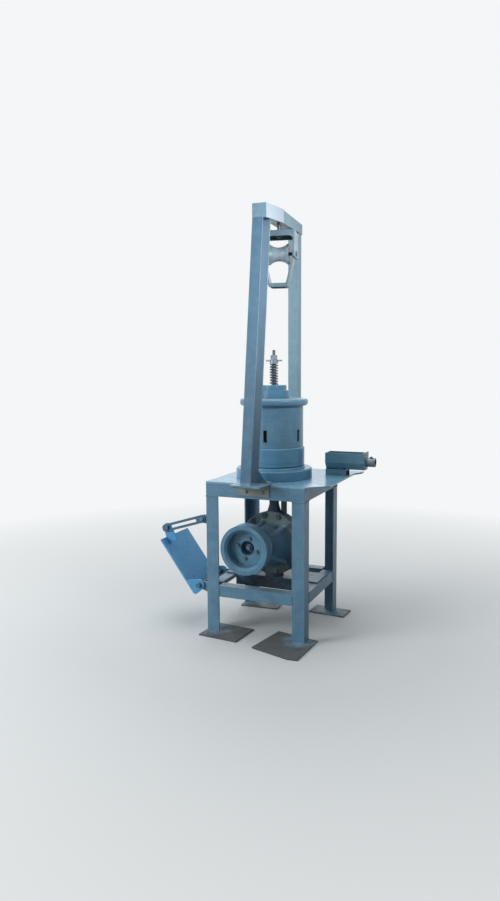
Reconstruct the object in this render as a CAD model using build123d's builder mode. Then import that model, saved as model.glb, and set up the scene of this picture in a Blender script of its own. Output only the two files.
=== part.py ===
from build123d import *
import math
import os

# Single-block wire drawing machine for tie wire. A floor-standing table of angle iron carries a
# vertical drum, driven from below by a truck axle gear with a grooved pulley. A portal over the
# drum holds a swivelling guide roller. Millimetres, +Z up, the pulley faces -Y.

# Table frame
frame_width = 640.0
frame_depth = 660.0
table_height = 950.0
table_thickness = 10.0
leg_size = 80.0
leg_wall = 8.0
lower_rail_size = 70.0
lower_rail_wall = 7.0
lower_rail_top = 300.0
root_radius = 8.0

# Table plate: reaches past the frame at the back and on the right, with cut corners
table_back_reach = 100.0
table_side_reach = 120.0
table_front_cut = 110.0
table_tail_reach = 35.0
table_tail_depth = 50.0

# Feet: rough plates under the legs. The front right one is larger and lies askew
foot_thickness = 8.0
foot_length = 262.0
foot_width = 228.0
foot_inset = 125.0
foot_turn = -5.0
large_foot_corners = ((-273.0, -158.0), (-23.0, -236.0), (38.0, -229.0), (57.0, 83.0), (-217.0, 141.0))
rear_foot_length = 248.0
rear_foot_depth = 142.0

# Cradle channel that carries the axle housing
cradle_width = 200.0
cradle_flange = 75.0
cradle_wall = 9.0
cradle_y = 38.0

# Portal: two uprights on foot plates and a beam in two lengths
front_upright_width = 64.0
front_upright_depth = 124.0
front_upright_wall = 8.0
front_upright_x = -5.0
front_upright_y = -387.0
lean_x = 42.0
lean_y = 105.0
rear_upright_width = 72.0
rear_upright_depth = 66.0
rear_upright_y = 382.0
upright_foot_thickness = 10.0
upright_foot_width = 200.0
upright_foot_skew = 22.0
rear_foot_width = 120.0
front_clear_height = 2491.0
rear_clear_height = 2517.0
front_beam_height = 82.0
front_beam_width = 86.0
rear_beam_height = 78.0
rear_beam_end_height = 62.0
rear_beam_width = 80.0
beam_joint_y = 8.0
beam_setback = 26.0
gusset_length = 64.0
gusset_height = 74.0
gusset_thickness = 8.0
bracket_size = 72.0
bracket_wall = 8.0
bracket_width = 200.0

# Drum and its base
drum_radius = 184.0
drum_foot_radius = 192.0
drum_ledge = 1148.0
drum_flange_bottom = 1404.0
drum_flange_top = 1450.0
drum_flange_radius = 214.0
drum_wall = 14.0
drum_deck = 20.0
window_width = 24.0
window_height = 75.0
window_bottom = 1184.0
window_count = 5
window_turn = -14.0
base_radius = 240.0
base_height = 64.0
base_edge = 8.0
drum_gap = 18.0

# Drive shaft, spindle, friction cap and spring
shaft_radius = 25.0
spindle_radius = 15.5
thread_radius = 8.5
spindle_top = 1750.0
cap_radius = 97.0
cap_height = 49.0
cap_step_radius = 79.0
cap_step_height = 33.0
cap_round = 3.0
spring_radius = 23.5
spring_wire = 8.0
spring_turns = 7.5
spring_height = 133.0
nut_seat_radius = 26.0
nut_seat_height = 14.0
washer_length = 104.0
washer_width = 16.0
washer_thickness = 10.0
nut_size = 39.0
nut_height = 29.0

# Axle housing and gear nose
housing_radius = 176.0
housing_tube_radius = 60.0
housing_foot_height = 40.0
housing_neck_radius = 41.0
housing_neck_drop = 72.0
housing_end_radius = 31.0
housing_end_length = 32.0
housing_top = 810.0
housing_z = 538.0
housing_back = 110.0
cover_radius = 150.0
cover_root = 12.0
cover_depth = 38.0
stub_x = 67.0
stub_radius = 19.0
stub_top = 805.0
flange_x = 10.0
flange_y = -70.0
flange_radius = 203.0
flange_thickness = 20.0
pinion_x = -28.0
pinion_z = 566.0
nose_radius = 126.0
nose_end_radius = 60.0
collar_radius = 68.0
collar_length = 24.0
nose_length = 230.0
nose_bore_depth = 40.0
rib_count = 5
rib_turn = 27.0
rib_thickness = 20.0
rib_foot = 5.0
rib_rise = 14.0
breather_x = -35.0
breather_y = -150.0
breather_radius = 12.0
breather_top = 795.0

# Pulley
pulley_radius = 150.0
pulley_face = -430.0
pulley_width = 84.0
pulley_recess = 62.0
pulley_rim = 24.0
pulley_chamfer = 14.0
groove_count = 4
groove_depth = 11.0
groove_width = 15.0
pulley_hub_radius = 72.0
hub_recess_radius = 45.0
hub_recess_depth = 50.0
pinion_radius = 20.0

# Guide fork and roller
fork_y = 40.0
fork_turn = 12.0
fork_width = 216.0
fork_depth = 175.0
fork_lip = 33.0
fork_lip_wall = 8.0
fork_lip_round = 24.0
fork_wall = 10.0
fork_gap = 48.0
fork_leg_drop = 25.0
strap_depth = 100.0
strap_wall = 8.0
strap_lap = 46.0
strap_round = 14.0
fork_foot_width = 116.0
fork_height = 334.0
fork_foot_thickness = 24.0
fork_bolt_radius = 11.0
fork_nut_size = 34.0
fork_nut_height = 16.0
axle_drop = 132.5
axle_radius = 10.0
axle_overhang = 5.0
roller_rim_radius = 63.0
roller_waist_radius = 42.0
roller_length = 136.0
roller_lip = 12.0

# Motor plate and its hinge
plate_length = 375.0
plate_width = 350.0
plate_thickness = 10.0
plate_lean = 36.0
plate_front = -326.0
motor_hole_radius = 5.5
motor_hole_pitch_y = 150.0
motor_hole_pitch_up = 215.0
motor_hole_y = -155.0
motor_hole_up = 178.0
hinge_reach = 60.0
hinge_z = 286.0
hinge_radius = 10.0
hinge_offset = 58.0
ear_thickness = 10.0
ear_radius = 34.0
ear_lobe_x = -28.0
ear_lobe_drop = 41.0
ear_lobe_radius = 21.0
hinge_lug_radius = 22.0

# Slotted arm that holds the motor plate, its lug on the leg and the tongue with its clamp bolt
arm_y = -264.0
arm_pivot_reach = 64.0
arm_pivot_z = 697.0
arm_bolt_reach = 317.0
arm_bolt_z = 619.0
arm_bolt_radius = 7.0
arm_bolt_head = 24.0
arm_bolt_head_height = 9.0
arm_width = 50.0
arm_thickness = 8.0
arm_slot_width = 18.0
arm_slot_start = 40.0
arm_slot_end = 9.0
arm_lug_thickness = 12.0
arm_lug_height = 70.0
tongue_width = 60.0
tongue_foot = 48.0

# Die box on the table's right-hand reach
box_left = 290.0
box_length = 247.0
box_y = 210.0
box_depth = 112.0
box_break_rise = 43.0
box_rise = 105.0
box_foot_depth = 60.0
box_wall = 5.0
box_end_thickness = 8.0
box_end_rise = 6.0
box_mouth_radius = 9.0
stand_length = 134.0
stand_depth = 90.0
stand_height = 43.0
stand_wall = 8.0
tube_radius = 28.5
tube_wall = 5.0
tube_length = 58.0
die_rise = 48.0

# Clearances: seats between pieces, running fits, and room round what moves
seat_gap = 0.3
running_gap = 0.08
face_gap = 0.5
room = 6.0

# Sizes that follow from the ones above
half_width = frame_width / 2
half_depth = frame_depth / 2
rail_plane = table_height - table_thickness
leg_top = rail_plane - leg_size
table_back = half_depth + table_back_reach
table_right = half_width + table_side_reach
base_top = table_height + base_height
drum_bottom = base_top + drum_gap
cap_top = drum_flange_top + cap_height + cap_step_height
spring_top = cap_top + spring_height
lean = math.radians(plate_lean)
hinge_x = -half_width - hinge_reach
arm_pivot_x = -half_width - arm_pivot_reach
arm_bolt_x = -half_width - arm_bolt_reach
box_bottom = table_height + stand_height
box_break = box_bottom + box_break_rise
box_top = box_bottom + box_rise
die_height = box_bottom + die_rise
box_right = box_left + box_length
tube_end = box_right + box_end_thickness + tube_length

# The drum's axis stands off the origin, which is the middle of the machine's plan
arm_run = Vector(arm_bolt_x - arm_pivot_x, 0, arm_bolt_z - arm_pivot_z)
slot_reach = arm_run.length + arm_slot_end
left_reach = arm_width / 2 - arm_pivot_x - arm_run.normalized().X * slot_reach
front_reach = half_depth - min(y for x, y in large_foot_corners)
drum_x = (left_reach - tube_end) / 2
drum_y = (front_reach - table_back) / 2
drum_axis = Axis((drum_x, drum_y, 0), (0, 0, 1))


def level(height):
    """A horizontal plane at a height above the floor, its origin on the drum's axis."""
    return Plane(origin=(drum_x, drum_y, height))


def facing_front(y):
    """An upright plane that faces the viewer: sketch x is +X and sketch y is +Z."""
    return Plane(origin=(drum_x, drum_y + y, 0), x_dir=(1, 0, 0), z_dir=(0, -1, 0))


def facing_right(x):
    """An upright plane that faces +X: sketch x is +Y and sketch y is +Z."""
    return Plane(origin=(drum_x + x, drum_y, 0), x_dir=(0, 1, 0), z_dir=(1, 0, 0))


def save(part, name):
    """Labels a finished piece and writes it."""
    part.label = name
    export_step(part, f"parts/{name}.step")


def angle_leg(side_x, side_y):
    """One leg of angle iron, its corner outwards."""
    corner_x = side_x * half_width
    corner_y = side_y * half_depth
    root_x = corner_x - side_x * leg_wall
    root_y = corner_y - side_y * leg_wall
    with BuildPart() as leg:
        with BuildSketch(level(foot_thickness)) as section:
            with BuildLine():
                Polyline(
                    (corner_x, corner_y),
                    (corner_x - side_x * leg_size, corner_y),
                    (corner_x - side_x * leg_size, root_y),
                    (root_x, root_y),
                    (root_x, corner_y - side_y * leg_size),
                    (corner_x, corner_y - side_y * leg_size),
                    close=True,
                )
            make_face()
            root = Vector(root_x, root_y, 0)
            fillet(section.vertices().sort_by_distance(root)[0], root_radius)
        extrude(amount=leg_top - foot_thickness)
    return leg.part


def rail(plane, length, size, wall, mitre):
    """An angle-iron rail below a plane, its upright flange along x and its top flange towards +y."""
    with BuildPart() as bar:
        for reach, drop in ((size, wall), (wall, size)):
            inset = reach if mitre else 0.0
            with BuildSketch(plane):
                with BuildLine():
                    Polyline((0, 0), (length, 0), (length - inset, reach), (inset, reach), close=True)
                make_face()
            extrude(amount=-drop)
        root = plane.from_local_coords((length / 2, wall, -wall))
        fillet(bar.edges().sort_by_distance(root)[0], root_radius)
    return bar.part


def rail_places(height, trim):
    """Names, planes and lengths of the four rails, each end shortened by trim."""
    across = frame_width - 2 * trim
    along = frame_depth - 2 * trim
    corners = (
        ("front", -half_width + trim, -half_depth, (1, 0, 0), across),
        ("right", half_width, -half_depth + trim, (0, 1, 0), along),
        ("rear", half_width - trim, half_depth, (-1, 0, 0), across),
        ("left", -half_width, half_depth - trim, (0, -1, 0), along),
    )
    places = []
    for name, x, y, direction, length in corners:
        plane = Plane(origin=(drum_x + x, drum_y + y, height), x_dir=direction, z_dir=(0, 0, 1))
        places.append((name, plane, length))
    return places


os.makedirs("parts", exist_ok=True)

# Feet
foot_places = (
    (-half_width + foot_inset, -half_depth + 8, foot_turn, foot_length, foot_width),
    (half_width - 34, half_depth - 38, foot_turn, rear_foot_length, rear_foot_depth),
    (-half_width + foot_inset, half_depth - 34, -foot_turn, foot_length, foot_width),
)
with BuildPart() as foot_plates:
    for foot_x, foot_y, turn, length, width in foot_places:
        with BuildSketch(level(0)):
            with Locations(Location((foot_x, foot_y, 0), (0, 0, turn))):
                Rectangle(length, width)
        extrude(amount=foot_thickness)
    with BuildSketch(level(0)):
        with BuildLine():
            Polyline(*[(half_width + x, y - half_depth) for x, y in large_foot_corners], close=True)
        make_face()
    extrude(amount=foot_thickness)
save(foot_plates.part, "foot_plates")

# Legs
leg_places = (
    ("front_left_leg", -1, -1),
    ("front_right_leg", 1, -1),
    ("rear_right_leg", 1, 1),
    ("rear_left_leg", -1, 1),
)
for leg_name, side_x, side_y in leg_places:
    save(angle_leg(side_x, side_y), leg_name)

# Top rails, mitred at the corners, and lower rails between the legs
for place, plane, length in rail_places(rail_plane, 0):
    save(rail(plane, length, leg_size, leg_wall, True), f"top_rail_{place}")
for place, plane, length in rail_places(lower_rail_top, leg_size):
    save(rail(plane, length, lower_rail_size, lower_rail_wall, False), f"lower_rail_{place}")

# Table plate
with BuildPart() as table_plate:
    with BuildSketch(level(rail_plane)):
        with BuildLine():
            Polyline(
                (-half_width, -half_depth),
                (half_width, -half_depth),
                (table_right, -half_depth + table_front_cut),
                (table_right, half_depth - table_tail_depth / 2),
                (table_right + table_tail_reach, half_depth + table_tail_depth),
                (table_right + table_tail_reach, table_back),
                (-half_width, table_back),
                close=True,
            )
        make_face()
        Circle(shaft_radius + room, mode=Mode.SUBTRACT)
    extrude(amount=table_thickness)
save(table_plate.part, "table_plate")

# Cradle: a broad channel laid web up across the side rails, its flanges cut back at the ends
cradle_length = frame_width - 2 * lower_rail_wall
cradle_flange_length = frame_width - 2 * lower_rail_size - 2 * room
cradle_top = lower_rail_top + cradle_wall
with BuildPart() as cradle_channel:
    with BuildSketch(level(lower_rail_top)):
        with Locations((0, cradle_y)):
            Rectangle(cradle_length, cradle_width)
    extrude(amount=cradle_wall)
    with BuildSketch(level(lower_rail_top)):
        for side in (-1, 1):
            with Locations((0, cradle_y + side * (cradle_width - cradle_wall) / 2)):
                Rectangle(cradle_flange_length, cradle_wall)
    extrude(amount=cradle_wall - cradle_flange)
save(cradle_channel.part, "cradle_channel")

# Bracket: a short angle on the front apron, its ledge level with the table
front_foot_line = front_upright_y - front_upright_depth / 2 - upright_foot_skew / 2
bracket_front = front_foot_line + upright_foot_skew / 2
with BuildPart() as upright_bracket:
    with BuildSketch(facing_right(-bracket_width / 2)):
        with BuildLine():
            Polyline(
                (-half_depth, table_height),
                (bracket_front, table_height),
                (bracket_front, table_height - bracket_wall),
                (-half_depth - bracket_wall, table_height - bracket_wall),
                (-half_depth - bracket_wall, table_height - bracket_size),
                (-half_depth, table_height - bracket_size),
                close=True,
            )
        make_face()
    extrude(amount=bracket_width)
save(upright_bracket.part, "upright_bracket")

# Foot plates of the uprights
half_foot = upright_foot_width / 2
foot_back = -base_radius - room
with BuildPart() as upright_feet:
    with BuildSketch(level(table_height)):
        with BuildLine():
            Polyline(
                (-half_foot, front_foot_line),
                (half_foot, front_foot_line - upright_foot_skew),
                (half_foot + upright_foot_skew / 2, -half_depth),
                (half_foot - upright_foot_skew, foot_back),
                (-half_foot, foot_back),
                close=True,
            )
        make_face()
    extrude(amount=upright_foot_thickness)
    with BuildSketch(level(table_height)):
        with Locations((0, rear_upright_y)):
            Rectangle(rear_foot_width, 2 * (table_back - rear_upright_y) - 4)
    extrude(amount=upright_foot_thickness)
save(upright_feet.part, "upright_feet")

# The two lengths of the beam: the front one climbs to the joint, the rear one thins towards its end
upright_bottom = table_height + upright_foot_thickness
beam_front_x = front_upright_x + lean_x
beam_front_y = front_upright_y + lean_y - front_upright_depth / 2 + beam_setback
beam_rear_y = rear_upright_y + rear_upright_depth / 2
beam_slew = beam_front_x / (beam_rear_y - beam_front_y)
joint_x = beam_slew * (beam_rear_y - beam_joint_y)


def beam_plane(x, y):
    """An upright plane along the beam, its sketch x running towards the rear."""
    along = Vector(-beam_slew, 1, 0).normalized()
    return Plane(origin=(drum_x + x, drum_y + y, 0), x_dir=along, z_dir=along.cross(Vector(0, 0, 1)))


front_run = math.hypot(beam_front_x - joint_x, beam_joint_y - beam_front_y)
rear_run = math.hypot(joint_x, beam_rear_y - beam_joint_y)
with BuildPart() as front_beam:
    with BuildSketch(beam_plane(beam_front_x, beam_front_y)):
        with BuildLine():
            Polyline(
                (0, front_clear_height),
                (front_run, rear_clear_height),
                (front_run, rear_clear_height + front_beam_height),
                (0, front_clear_height + front_beam_height),
                close=True,
            )
        make_face()
    extrude(amount=front_beam_width / 2, both=True)
save(front_beam.part, "front_beam")

with BuildPart() as rear_beam:
    with BuildSketch(beam_plane(joint_x, beam_joint_y)):
        with BuildLine():
            Polyline(
                (0, rear_clear_height),
                (rear_run, rear_clear_height),
                (rear_run, rear_clear_height + rear_beam_end_height),
                (0, rear_clear_height + rear_beam_height),
                close=True,
            )
        make_face()
    extrude(amount=rear_beam_width / 2, both=True)
save(rear_beam.part, "rear_beam")

# Front upright: a channel that leans to the right and back, open on its right, cut under the beam
upright_length = front_clear_height - upright_bottom
lean_way = Vector(lean_x, lean_y, upright_length)
beam_climb = (rear_clear_height - front_clear_height) / front_run
along_beam = Vector(-beam_slew, 1, beam_climb)
underside = Plane(
    origin=(drum_x + beam_front_x, drum_y + beam_front_y, front_clear_height),
    x_dir=along_beam,
    z_dir=along_beam.cross(Vector(-1, -beam_slew, 0)),
)
with BuildPart() as front_upright:
    with BuildSketch(level(upright_bottom)) as channel:
        with Locations((front_upright_x, front_upright_y)):
            Rectangle(front_upright_width, front_upright_depth)
        with Locations((front_upright_x + front_upright_wall, front_upright_y)):
            Rectangle(
                front_upright_width, front_upright_depth - 2 * front_upright_wall, mode=Mode.SUBTRACT
            )
        web = Vector(front_upright_x - front_upright_width / 2 + front_upright_wall, front_upright_y, 0)
        fillet(channel.vertices().sort_by_distance(web)[0:2], root_radius)
    extrude(amount=lean_way.length * 1.05, dir=lean_way)
    split(bisect_by=underside, keep=Keep.BOTTOM)
save(front_upright.part, "front_upright")

# Rear upright: a plumb box section
with BuildPart() as rear_upright:
    with BuildSketch(level(upright_bottom)):
        with Locations((0, rear_upright_y)):
            RectangleRounded(rear_upright_width, rear_upright_depth, 6)
    extrude(amount=rear_clear_height - upright_bottom)
save(rear_upright.part, "rear_upright")

# Gusset: a triangle between the front upright's rear flange and its foot plate
gusset_face = front_upright_y + front_upright_depth / 2 - gusset_thickness
upright_edge = front_upright_x + front_upright_width / 2
with BuildPart() as upright_gusset:
    with BuildSketch(facing_front(gusset_face)):
        with BuildLine():
            Polyline(
                (upright_edge, upright_bottom),
                (upright_edge + gusset_length, upright_bottom),
                (upright_edge + lean_x / upright_length * gusset_height, upright_bottom + gusset_height),
                close=True,
            )
        make_face()
    extrude(amount=-gusset_thickness)
save(upright_gusset.part, "upright_gusset")

# Drum base: the bearing housing on the table
with BuildPart() as bearing_base:
    with BuildSketch(facing_front(0)):
        with BuildLine():
            Polyline(
                (shaft_radius + room, table_height),
                (base_radius, table_height),
                (base_radius, base_top - base_edge),
                (base_radius - base_edge, base_top),
                (shaft_radius + room, base_top),
                close=True,
            )
        make_face()
    revolve(axis=drum_axis)
save(bearing_base.part, "bearing_base")

# Drum: a bell with a foot ledge, a rounded flange and five windows, closed at the top by its deck
deck_bottom = drum_flange_top - drum_deck
with BuildPart() as drum:
    with BuildSketch(facing_front(0)) as drum_section:
        with BuildLine():
            Polyline(
                (shaft_radius + seat_gap, deck_bottom),
                (drum_radius - drum_wall, deck_bottom),
                (drum_radius - drum_wall, drum_bottom),
                (drum_foot_radius, drum_bottom),
                (drum_foot_radius, drum_ledge - drum_foot_radius + drum_radius),
                (drum_radius, drum_ledge),
                (drum_radius, drum_flange_bottom),
                (drum_flange_radius, drum_flange_bottom),
                (drum_flange_radius, drum_flange_top),
                (shaft_radius + seat_gap, drum_flange_top),
                close=True,
            )
        make_face()
        outer = drum_section.vertices().group_by(Axis.X)[-1]
        fillet(outer, (drum_flange_top - drum_flange_bottom) * 0.42)
    revolve(axis=drum_axis)
    for window in range(window_count):
        window_angle = math.radians(window_turn + window * 360 / window_count)
        outward = Vector(math.cos(window_angle), math.sin(window_angle), 0)
        window_origin = (drum_x, drum_y, window_bottom + window_height / 2)
        across = Vector(0, 0, 1).cross(outward)
        with BuildSketch(Plane(origin=window_origin, x_dir=across, z_dir=outward)):
            Rectangle(window_width, window_height)
        extrude(amount=drum_foot_radius + room, mode=Mode.SUBTRACT)
save(drum.part, "drum")

# Drive shaft and threaded spindle in one
with BuildPart() as spindle:
    with BuildSketch(level(housing_top + seat_gap)):
        Circle(shaft_radius)
    extrude(amount=drum_flange_top - housing_top - seat_gap)
    with BuildSketch(level(drum_flange_top)):
        Circle(spindle_radius)
    extrude(amount=spring_top - drum_flange_top)
    with BuildSketch(level(spring_top)):
        Circle(thread_radius)
    extrude(amount=spindle_top - spring_top)
save(spindle.part, "spindle")

# Friction cap in two steps
with BuildPart() as friction_cap:
    with BuildSketch(level(drum_flange_top)):
        Circle(cap_radius)
        Circle(spindle_radius + seat_gap, mode=Mode.SUBTRACT)
    extrude(amount=cap_height)
    with BuildSketch(level(drum_flange_top + cap_height)):
        Circle(cap_step_radius)
        Circle(spindle_radius + seat_gap, mode=Mode.SUBTRACT)
    extrude(amount=cap_step_height)
    rims = friction_cap.edges().filter_by(GeomType.CIRCLE).filter_by(lambda rim: rim.radius > spring_radius)
    fillet(rims.group_by(Axis.Z)[-1], cap_round)
save(friction_cap.part, "friction_cap")

# Spring round the spindle
coil_height = spring_height - spring_wire - 2 * seat_gap
with BuildPart() as spindle_spring:
    with BuildLine(level(cap_top + spring_wire / 2 + seat_gap)) as coil:
        Helix(pitch=coil_height / spring_turns, height=coil_height, radius=spring_radius)
    with BuildSketch(Plane(origin=coil.line @ 0, z_dir=coil.line % 0)):
        Circle(spring_wire / 2)
    sweep()
save(spindle_spring.part, "spindle_spring")

# Nut on a bar across a thick washer
washer_bottom = spring_top + nut_seat_height
with BuildPart() as spindle_nut:
    with BuildSketch(level(spring_top)):
        Circle(nut_seat_radius)
        Circle(thread_radius + seat_gap, mode=Mode.SUBTRACT)
    extrude(amount=nut_seat_height)
    with BuildSketch(level(washer_bottom)):
        Rectangle(washer_length, washer_width)
        Circle(nut_seat_radius)
        Circle(thread_radius + seat_gap, mode=Mode.SUBTRACT)
    extrude(amount=washer_thickness)
    with BuildSketch(level(washer_bottom + washer_thickness)):
        RegularPolygon(nut_size / 2, 6, major_radius=False)
        Circle(thread_radius + seat_gap, mode=Mode.SUBTRACT)
    extrude(amount=nut_height)
save(spindle_nut.part, "spindle_nut")

# Axle housing: a banjo body with its tubes upright, standing on the cradle, with a domed cover
# behind and a short stub on its right shoulder
neck_z = housing_top - housing_neck_drop
with BuildPart() as axle_housing:
    with BuildSketch(facing_front(0)):
        with BuildLine():
            Polyline(
                (housing_end_radius, housing_top - housing_end_length),
                (housing_end_radius, housing_top),
                (0, housing_top),
                (0, cradle_top),
                (housing_tube_radius, cradle_top),
                (housing_tube_radius, cradle_top + housing_foot_height),
            )
            Spline(
                (housing_tube_radius, cradle_top + housing_foot_height),
                (housing_radius, housing_z),
                (housing_neck_radius, neck_z),
                (housing_end_radius, housing_top - housing_end_length),
            )
        make_face()
    revolve(axis=drum_axis)
    with BuildSketch(level(cradle_top)):
        with Locations((0, (housing_back + flange_y) / 2)):
            Rectangle(2 * housing_radius, housing_back - flange_y)
    extrude(amount=housing_top - cradle_top, mode=Mode.INTERSECT)
    with BuildSketch(facing_front(0)):
        with Locations((flange_x, housing_z)):
            Circle(flange_radius - 8)
    extrude(amount=-flange_y)
    with BuildSketch(level(housing_z)):
        with Locations((stub_x, 0)):
            Circle(stub_radius)
    extrude(amount=stub_top - housing_z)
    with BuildSketch(facing_front(0)):
        with Locations((flange_x, housing_z)):
            Circle(cover_radius)
    extrude(amount=-housing_back - cover_root)
    with BuildSketch(level(housing_z)):
        with BuildLine():
            cover_face = housing_back + cover_root
            Polyline(
                (flange_x, cover_face + cover_depth - cover_root),
                (flange_x, cover_face),
                (flange_x + cover_radius, cover_face),
            )
            ThreePointArc(
                (flange_x + cover_radius, cover_face),
                (flange_x + cover_radius * 0.55, cover_face + (cover_depth - cover_root) * 0.72),
                (flange_x, cover_face + cover_depth - cover_root),
            )
        make_face()
    revolve(axis=Axis((drum_x + flange_x, drum_y, housing_z), (0, 1, 0)))
save(axle_housing.part, "axle_housing")

# Gear nose: ring flange, ribbed cone, the pinion's bearing end and the breather pipe
pinion_axis = Axis((drum_x + pinion_x, drum_y, pinion_z), (0, -1, 0))
pinion_offset = Vector(flange_x - pinion_x, 0, housing_z - pinion_z)
nose_start = flange_y - flange_thickness
nose_end = flange_y - nose_length
collar_back = nose_end + collar_length
with BuildPart() as gear_nose:
    with BuildSketch(facing_front(flange_y)):
        with Locations((flange_x, housing_z)):
            Circle(flange_radius)
    extrude(amount=flange_thickness)
    with BuildSketch(facing_front(nose_start)):
        with Locations((flange_x, housing_z)):
            Circle(nose_radius)
    with BuildSketch(facing_front(collar_back)):
        with Locations((pinion_x, pinion_z)):
            Circle(nose_end_radius)
    loft()
    with BuildSketch(facing_front(collar_back)):
        with Locations((pinion_x, pinion_z)):
            Circle(collar_radius)
    extrude(amount=collar_length)
    for rib in range(rib_count):
        rib_angle = math.radians(rib_turn + rib * 360 / rib_count)
        rib_way = Vector(math.cos(rib_angle), 0, math.sin(rib_angle))
        rib_shift = pinion_offset.dot(rib_way)
        rib_reach = rib_shift + math.sqrt(nose_radius**2 - pinion_offset.length**2 + rib_shift**2)
        rib_origin = Vector(drum_x + pinion_x, drum_y, pinion_z)
        rib_plane = Plane(origin=rib_origin, x_dir=rib_way, z_dir=rib_way.cross(Vector(0, -1, 0)))
        with BuildSketch(rib_plane):
            with BuildLine():
                Polyline(
                    (nose_end_radius / 2, -nose_start - 5),
                    (rib_reach + rib_foot, -nose_start - 5),
                    (rib_reach + rib_foot, -nose_start + rib_rise),
                    (collar_radius, -collar_back),
                    (nose_end_radius / 2, -collar_back),
                    close=True,
                )
            make_face()
        extrude(amount=rib_thickness / 2, both=True)
    with BuildSketch(level(pinion_z + nose_radius / 2)):
        with Locations((breather_x, breather_y)):
            Circle(breather_radius)
    extrude(amount=breather_top - pinion_z - nose_radius / 2)
    with BuildSketch(facing_front(nose_end)):
        with Locations((pinion_x, pinion_z)):
            Circle(pinion_radius + running_gap)
    extrude(amount=-nose_bore_depth, mode=Mode.SUBTRACT)
save(gear_nose.part, "gear_nose")

# Pulley: V grooves outside, a deep dish in front, a recessed hub and the pinion's stub in the nose
pulley_back = pulley_face + pulley_width
groove_pitch = (pulley_width - groove_width) / groove_count
hub_back = nose_end - room
with BuildPart() as pulley:
    outline = [
        (0, -nose_end - nose_bore_depth + room),
        (pinion_radius, -nose_end - nose_bore_depth + room),
        (pinion_radius, -hub_back),
        (pulley_hub_radius, -hub_back),
        (pulley_hub_radius, -pulley_back),
        (pulley_radius, -pulley_back),
    ]
    for groove in range(groove_count):
        middle = -pulley_back + groove_width / 2 + groove_pitch * (groove + 0.5)
        outline.append((pulley_radius, middle - groove_width / 2))
        outline.append((pulley_radius - groove_depth, middle - groove_width / 6))
        outline.append((pulley_radius - groove_depth, middle + groove_width / 6))
        outline.append((pulley_radius, middle + groove_width / 2))
    outline += [
        (pulley_radius, -pulley_face),
        (pulley_radius - pulley_rim, -pulley_face),
        (pulley_radius - pulley_rim - pulley_chamfer, -pulley_face - pulley_chamfer),
        (pulley_radius - pulley_rim - pulley_chamfer, -pulley_face - pulley_recess),
        (hub_recess_radius, -pulley_face - pulley_recess),
        (hub_recess_radius, -pulley_face - pulley_recess - hub_recess_depth),
        (0, -pulley_face - pulley_recess - hub_recess_depth),
    ]
    pulley_plane = Plane(
        origin=(drum_x + pinion_x, drum_y, pinion_z), x_dir=(1, 0, 0), z_dir=(0, 0, -1)
    )
    with BuildSketch(pulley_plane):
        with BuildLine():
            Polyline(*outline, close=True)
        make_face()
    revolve(axis=pinion_axis)
save(pulley.part, "pulley")

# The guide fork's own planes: it hangs under the beam's middle line, turned a little on its bolt
fork_x = beam_slew * (beam_rear_y - fork_y)
fork_way = Vector(math.cos(math.radians(fork_turn)), math.sin(math.radians(fork_turn)), 0)
fork_top = rear_clear_height - fork_gap
axle_z = fork_top - axle_drop
fork_bottom = fork_top - fork_height
fork_face = Plane(
    origin=(drum_x + fork_x, drum_y + fork_y, 0), x_dir=fork_way, z_dir=fork_way.cross(Vector(0, 0, 1))
)


def across_fork(start):
    """A plane square to the roller's axle, a distance from the fork's middle, facing along the axle."""
    origin = Vector(drum_x + fork_x, drum_y + fork_y, axle_z) + fork_way * start
    return Plane(origin=origin, z_dir=fork_way)


def under_beam(height):
    """A horizontal plane on the swivel bolt's axis."""
    return Plane(origin=(drum_x + fork_x, drum_y + fork_y, height), x_dir=fork_way, z_dir=(0, 0, 1))


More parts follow.
